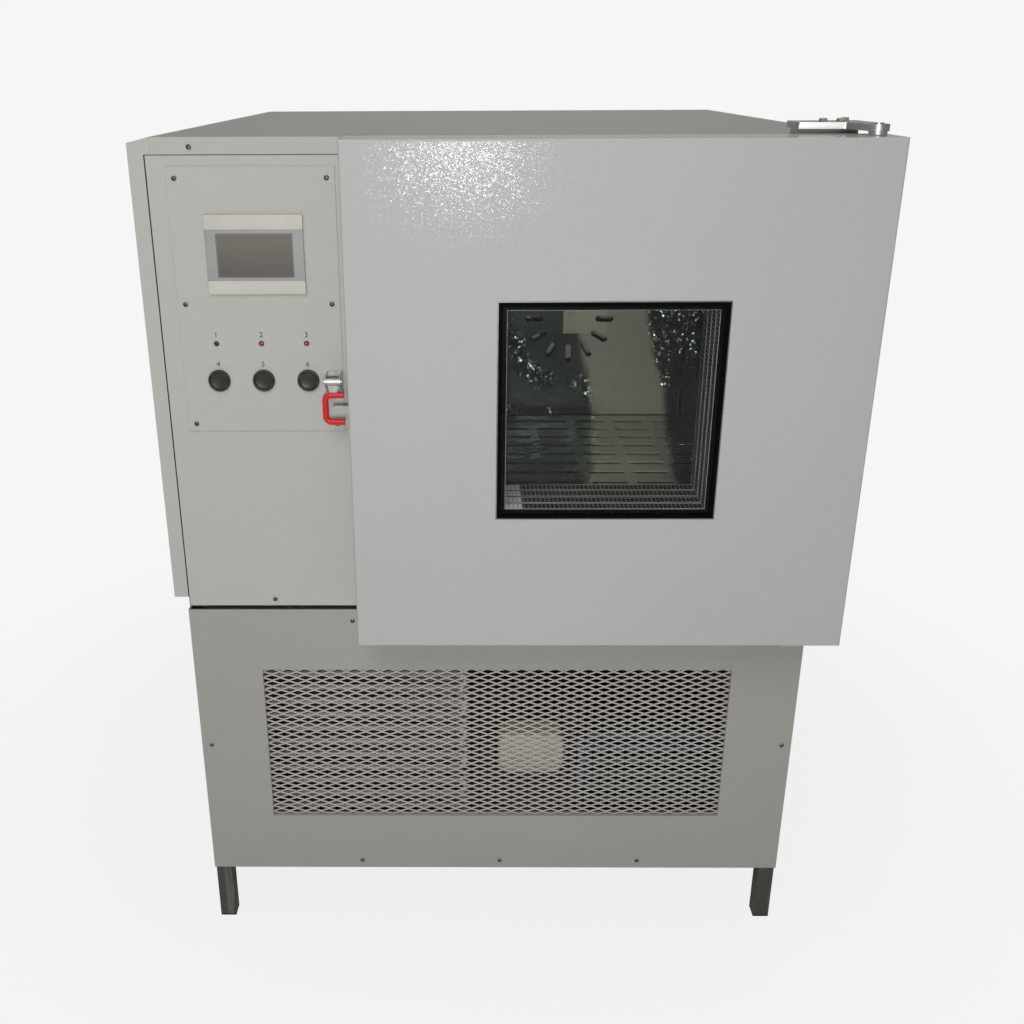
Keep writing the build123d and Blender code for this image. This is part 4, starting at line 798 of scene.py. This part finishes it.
def screws():
    # A flat solid is a screw, and gets a pan head turned at random; a taller one is a
    # hexagon head, drawn as three outlines of which the last is drawn in.
    use = screwSizes
    heads, bolts = [], []
    turns = np.random.default_rng(7).uniform(0, np.pi, 60)
    t = np.linspace(0, 2 * np.pi, 6, endpoint=False)
    for index, (low, high) in enumerate(islandBoxes("screws_and_bolts")):
        middle = (low + high) / 2
        if high[1] - low[1] < use["flatter"]:
            heads.append(panHead((middle[0], high[1], middle[2]), turns[index]))
        else:
            radius = (high[0] - low[0]) / 2
            rows = []
            for scale, level in ((1.0, 0.0), (1.0, use["chamferAt"]), (use["chamfer"], 1.0)):
                z = low[2] + (high[2] - low[2]) * level
                rows.append(np.stack([middle[0] + radius * scale * np.cos(t),
                                      middle[1] + radius * scale * np.sin(t), z + 0 * t], -1))
            faces = list(gridFaces(3, 6, wrapColumns=True))
            faces += [tuple(range(6))[::-1], tuple(range(12, 18))]
            bolts.append((np.concatenate(rows), faces))
    piece = sharpEdges(turnedOut(meshPiece("screw_heads", *joined(heads), "screwZinc")))
    nuts = sharpEdges(turnedOut(meshPiece("hinge_bolt_heads", *joined(bolts), "zinc")))
    for made in (piece, nuts):
        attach(made, "cabinet")
        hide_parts("screws_and_bolts")


# Push buttons and indicators
buttonSizes = {"collar": 0.0150, "bore": 0.0119, "rim": 0.0012, "cap": 0.0115, "edge": 0.0009,
               "skirt": 0.0011, "stem": 0.0085, "dish": 0.0012, "bevel": 0.0004,
               "bevelDeep": 0.0006, "foot": 0.0002, "pole": 0.0001, "sides": 48}


def buttons():
    # Collar profile: a wall, a rim rounded as a quarter ellipse and a bore. Cap profile: a
    # stem, a thin skirt, a rounded edge and a dish of depth * (1 - (r / R)^2).
    use = buttonSizes
    sides = use["sides"]
    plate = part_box("control_plate")[0].y
    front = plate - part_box("button_bodies")[0].y
    a = np.linspace(0, np.pi / 2, 6)
    rim = np.stack([use["collar"] - use["rim"] * (1 - np.cos(a)), front * (1 + np.sin(a)) / 2], -1)
    collarLine = [(use["collar"], 0.0), *rim, (use["bore"] + use["bevel"], front),
                  (use["bore"], front - use["bevelDeep"]), (use["bore"], use["foot"])]
    flat = use["cap"] - use["edge"]
    arc = np.stack([flat + use["edge"] * np.cos(a), use["edge"] * (np.sin(a) - 1)], -1)
    r = np.linspace(flat, 0.0, 12)
    dish = np.stack([np.maximum(r, use["pole"]), -use["dish"] * (1 - (r / flat) ** 2)], -1)
    collars = []
    for number, body in ((1, "button_left"), (2, "button_middle"), (3, "button_right")):
        low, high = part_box(f"button_{number}")
        x, z = (low.x + high.x) / 2, (low.z + high.z) / 2
        points, faces = lathePart(collarLine, (x, plate, z), sides)
        i = np.arange(sides)
        last = len(points) - sides
        back = np.stack([i, (i + 1) % sides, last + (i + 1) % sides, last + i], -1)
        collars.append((points, faces[:-2] + list(back)))
        capLine = [(use["stem"], low.y - high.y), (use["stem"], -use["skirt"]),
                   (use["cap"], -use["skirt"]), *arc, *dish[1:]]
        piece = meshPiece(f"button_cap_{number}", *lathePart(capLine, (x, low.y, z), sides),
                          "blackPlastic")
        sharpEdges(turnedOut(piece), 50.0)
        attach(piece, body)
        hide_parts(f"button_{number}")
    ring = turnedOut(meshPiece("button_collars", *joined(collars), "blackPlastic"))
    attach(ring, "cabinet")
    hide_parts("button_bodies")


indicatorSizes = {"flange": 0.0036, "wall": 0.0006, "slope": 0.0031, "height": 0.0012,
                  "mouth": 0.0026, "lens": 0.0025, "foot": 0.0002, "pole": 0.00003,
                  "lensWall": 0.0010, "dome": 0.0013, "sides": 32}


def indicators():
    # Each lamp is a plastic ring and a domed lens, (lens cos v, lensWall + dome sin v). The
    # left one is unlit and darker.
    use = indicatorSizes
    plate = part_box("control_plate")[0].y
    low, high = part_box("indicator_lamps")
    centreZ = (low.z + high.z) / 2
    span = [low.x + use["flange"], (low.x + high.x) / 2, high.x - use["flange"]]
    v = np.linspace(0, np.pi / 2, 7)
    ringLine = [(use["flange"], 0.0), (use["flange"], use["wall"]), (use["slope"], use["height"]),
                (use["mouth"], use["height"]), (use["lens"], use["foot"])]
    arc = np.stack([use["lens"] * np.cos(v) + use["pole"],
                    use["lensWall"] + use["dome"] * np.sin(v)], -1)
    dome = [(use["lens"], 0.0), *arc]
    rings = []
    for index, x in enumerate(span):
        spot = (x, plate, centreZ)
        rings.append(lathePart(ringLine, spot, use["sides"]))
        lens = turnedOut(meshPiece(f"indicator_lens_{index + 1}",
                                   *lathePart(dome, spot, use["sides"]),
                                   "darkLens" if index == 0 else "redLens"))
        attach(lens, "cabinet")
        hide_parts("indicator_lamps")
    piece = turnedOut(meshPiece("indicator_rings", *joined(rings), "lampRing"))
    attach(piece, "cabinet")
    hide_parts("indicator_lamps")


# Operator display
displaySizes = {"corner": 0.0022, "edge": 0.0010, "sunk": 0.0012, "barTop": 0.0193,
                "barBottom": 0.0176, "barBack": 0.0010, "barEdge": 0.0009, "frame": 0.0016,
                "frameDeep": 0.00035, "frameCorner": 0.0012, "filmDeep": 0.0004,
                "filmCorner": 0.0008, "filmEdge": 0.0002, "filmSunk": 0.0002}


def display():
    # Rounded plates: a bezel a little sunk between two raised bars, then a border and a
    # film over the screen
    use = displaySizes
    low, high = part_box("display_housing")
    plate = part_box("control_plate")[0].y
    middleX = (low.x + high.x) / 2
    halfW = (high.x - low.x) / 2
    bezel = slabPart((middleX, plate, (low.z + high.z) / 2), halfW, (high.z - low.z) / 2,
                     plate - low.y - use["sunk"], use["corner"], use["edge"])
    body = meshPiece("display_bezel", *bezel, "bezelGrey")
    barBack = plate - use["barBack"]
    parts = []
    for z0, z1 in ((high.z - use["barTop"], high.z), (low.z, low.z + use["barBottom"])):
        parts.append(slabPart((middleX, barBack, (z0 + z1) / 2), halfW, (z1 - z0) / 2,
                              barBack - low.y, use["corner"], use["barEdge"]))
    bars = meshPiece("display_bars", *joined(parts), "cream")
    sLow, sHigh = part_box("display_screen")
    middle = ((sLow.x + sHigh.x) / 2, low.y + use["sunk"] + use["filmSunk"],
              (sLow.z + sHigh.z) / 2)
    halfX, halfZ = (sHigh.x - sLow.x) / 2, (sHigh.z - sLow.z) / 2
    film = slabPart(middle, halfX, halfZ, use["filmDeep"], use["filmCorner"], use["filmEdge"])
    window = meshPiece("display_film", *film, "screen")
    outer = slabPart(middle, halfX + use["frame"], halfZ + use["frame"], use["frameDeep"],
                     use["frameCorner"], use["filmEdge"])
    border = meshPiece("display_border", *outer, "bezelEdge")
    for piece, node, slotName in ((body, "display_housing", "cream_plastic"),
                                  (bars, "display_housing", "cream_plastic"),
                                  (border, "display_housing", "cream_plastic"),
                                  (window, "display_screen", "screen")):
        sharpEdges(turnedOut(piece), 50.0)
        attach(piece, "cabinet")
        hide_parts(node)


# Plain numbers over the lamps and the buttons
labelSizes = {"height": 0.0075, "digitShare": 0.72, "thick": 0.00006, "lift": 0.00002,
              "overLamp": 0.0085, "overButton": 0.0190}


def labels():
    # Thin text made a mesh, then stood on the plate: (x, y, z) = (u + x, plate - w, v + z)
    use = labelSizes
    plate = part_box("control_plate")[0].y
    low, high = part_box("indicator_lamps")
    lampZ = (low.z + high.z) / 2 + use["overLamp"]
    bLow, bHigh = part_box("button_bodies")
    buttonZ = (bLow.z + bHigh.z) / 2 + use["overButton"]
    edge = indicatorSizes["flange"]
    columns = (low.x + edge, (low.x + high.x) / 2, high.x - edge)
    spots = [(x, z) for z in (lampZ, buttonZ) for x in columns]
    for number, (x, z) in enumerate(spots, start=1):
        curve = bpy.data.curves.new(f"number_{number}", "FONT")
        curve.body = str(number)
        curve.size = use["height"] / use["digitShare"]
        curve.align_x = "CENTER"
        curve.extrude = use["thick"] / 2
        holder = bpy.data.objects.new(f"number_text_{number}", curve)
        scene.collection.objects.link(holder)
        bpy.context.view_layer.update()
        mesh = bpy.data.meshes.new_from_object(holder)
        bpy.data.objects.remove(holder)
        points = np.empty(len(mesh.vertices) * 3)
        mesh.vertices.foreach_get("co", points)
        points = points.reshape(-1, 3)
        moved = np.stack([points[:, 0] + x,
                          plate - use["thick"] / 2 - points[:, 2] - use["lift"],
                          points[:, 1] + z], -1)
        mesh.vertices.foreach_set("co", moved.ravel())
        mesh.update()
        piece = bpy.data.objects.new(f"label_{number}", mesh)
        scene.collection.objects.link(piece)
        mesh.materials.clear()
        mesh.materials.append(finishes["ink"])
        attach(piece, "cabinet")


expandedMesh()
print("grille made")
finnedCoil("left_coil", "condenser_left", "fins", "coilTube")
finnedCoil("right_coil", "condenser_right", "blueFins", "blueTube")
print("coils made")
screws()
buttons()
indicators()
display()
labels()
print("controls made")

# Floor and backdrop in one sweep, camera and lights
stageSizes = {"half": 9.0, "back": 4.2, "bend": 1.6, "top": 7.0, "fadeNear": 0.6, "fadeFar": 1.5,
              "evenShare": 0.90, "paintGrey": 244, "evenGrey": 246}


def stageFinish(name):
    # To the camera a mostly even pale grey, with some of the painted floor and its shadow
    # near the object; every other ray sees the paint.
    use = stageSizes
    finish = Finish(name, Base_Color=grey(use["paintGrey"]), Roughness=0.9)
    x, y, z = finish.axes()
    reach = (x ** 2.0 + (y - 0.1) ** 2.0 + z ** 2.0) ** 0.5
    far = use["evenShare"] + (1.0 - use["evenShare"]) * reach.soft(use["fadeNear"], use["fadeFar"])
    ray = finish.node("ShaderNodeLightPath", output="Is Camera Ray")
    glow = finish.node("ShaderNodeEmission", {}, {"Color": grey(use["evenGrey"]), "Strength": 1.0})
    finish.cover(far * ray, finish.principled(), glow)
    return finish.material


def stage():
    # A level floor, a quarter round of radius bend, then an upright backdrop
    use = stageSizes
    a = np.linspace(0, np.pi / 2, 16)
    ys = np.concatenate([[-use["half"]], use["back"] - use["bend"] + use["bend"] * np.sin(a),
                         [use["back"]]])
    zs = np.concatenate([[0.0], use["bend"] * (1 - np.cos(a)), [use["top"]]])
    points = np.concatenate([np.stack([np.full(len(ys), x), ys, zs], -1)
                             for x in (-use["half"], use["half"])])
    faces = [tuple(face[::-1]) for face in gridFaces(2, len(ys))]
    finishes["stage"] = stageFinish("pale_sweep")
    piece = meshPiece("floor_sweep", points, faces, "stage")


cameraSizes = {
    "focal": 1118.27, "centreX": 454.35, "centreY": 521.51, "image": 1024.0, "sensor": 36.0,
    "x": -0.0473, "ahead": 1.4757, "z": 1.2999, "yaw": 0.60, "pitch": -21.937, "roll": -0.272,
}


def camera():
    # Turned level, then down, then about its own line of sight, each after the last
    use = cameraSizes
    data = bpy.data.cameras.new("camera")
    data.sensor_width = use["sensor"]
    data.lens = use["focal"] / use["image"] * use["sensor"]
    data.shift_x = (use["image"] / 2 - use["centreX"]) / use["image"]
    data.shift_y = (use["centreY"] - use["image"] / 2) / use["image"]
    data.clip_start = 0.05
    made = bpy.data.objects.new("camera", data)
    scene.collection.objects.link(made)
    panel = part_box("front_panel")[0].y
    made.location = (use["x"], panel - use["ahead"], use["z"])
    made.rotation_mode = "QUATERNION"
    turn = Quaternion()
    for axis, degrees in (((0, 0, 1), use["yaw"]), ((1, 0, 0), 90 + use["pitch"]),
                          ((0, 0, 1), use["roll"])):
        turn = turn @ Quaternion(axis, math.radians(degrees))
    made.rotation_quaternion = turn
    scene.camera = made


lampSizes = {
    "flash": {"place": (-0.06, -2.02, 1.15), "aim": (-0.06, -0.5, 1.0), "size": 0.1, "power": 9.4},
    "key": {"place": (-0.6, -2.3, 2.6), "aim": (0.0, -0.4, 0.9), "size": 1.4, "power": 20.0},
    "top": {"place": (0.0, 0.3, 3.6), "aim": (0.0, 0.1, 1.0), "size": 2.4, "power": 24.0},
    "back": {"place": (0.6, 3.0, 0.66), "aim": (0.0, 0.5, 0.6), "size": 0.9, "power": 26.0},
}
worldLook = {"grey": 250, "strength": 0.24, "seenGrey": 246}


def lamps():
    # Square lamps, each turned to the point it aims at
    for name, use in lampSizes.items():
        data = bpy.data.lights.new(name, "AREA")
        data.shape = "SQUARE"
        data.size = use["size"]
        data.energy = use["power"]
        made = bpy.data.objects.new(name, data)
        scene.collection.objects.link(made)
        place, aim = np.array(use["place"]), np.array(use["aim"])
        made.location = place
        made.rotation_euler = Vector(aim - place).to_track_quat("-Z", "Y").to_euler()


def background():
    # A dim world lights the object; the camera sees an even pale one past the sweep
    use = worldLook
    world = bpy.data.worlds.new("studio")
    scene.world = world
    world.use_nodes = True
    tree = world.node_tree
    dim = tree.nodes["Background"]
    dim.inputs["Color"].default_value = (*grey(use["grey"]), 1.0)
    dim.inputs["Strength"].default_value = use["strength"]
    plain = tree.nodes.new("ShaderNodeBackground")
    plain.inputs["Color"].default_value = (*grey(use["seenGrey"]), 1.0)
    path = tree.nodes.new("ShaderNodeLightPath")
    choice = tree.nodes.new("ShaderNodeMixShader")
    for source, target in ((path.outputs["Is Camera Ray"], choice.inputs[0]),
                           (dim.outputs[0], choice.inputs[1]), (plain.outputs[0], choice.inputs[2]),
                           (choice.outputs[0], tree.nodes["World Output"].inputs["Surface"])):
        tree.links.new(source, target)


stage()
camera()
lamps()
background()
print("stage, camera and lamps made")
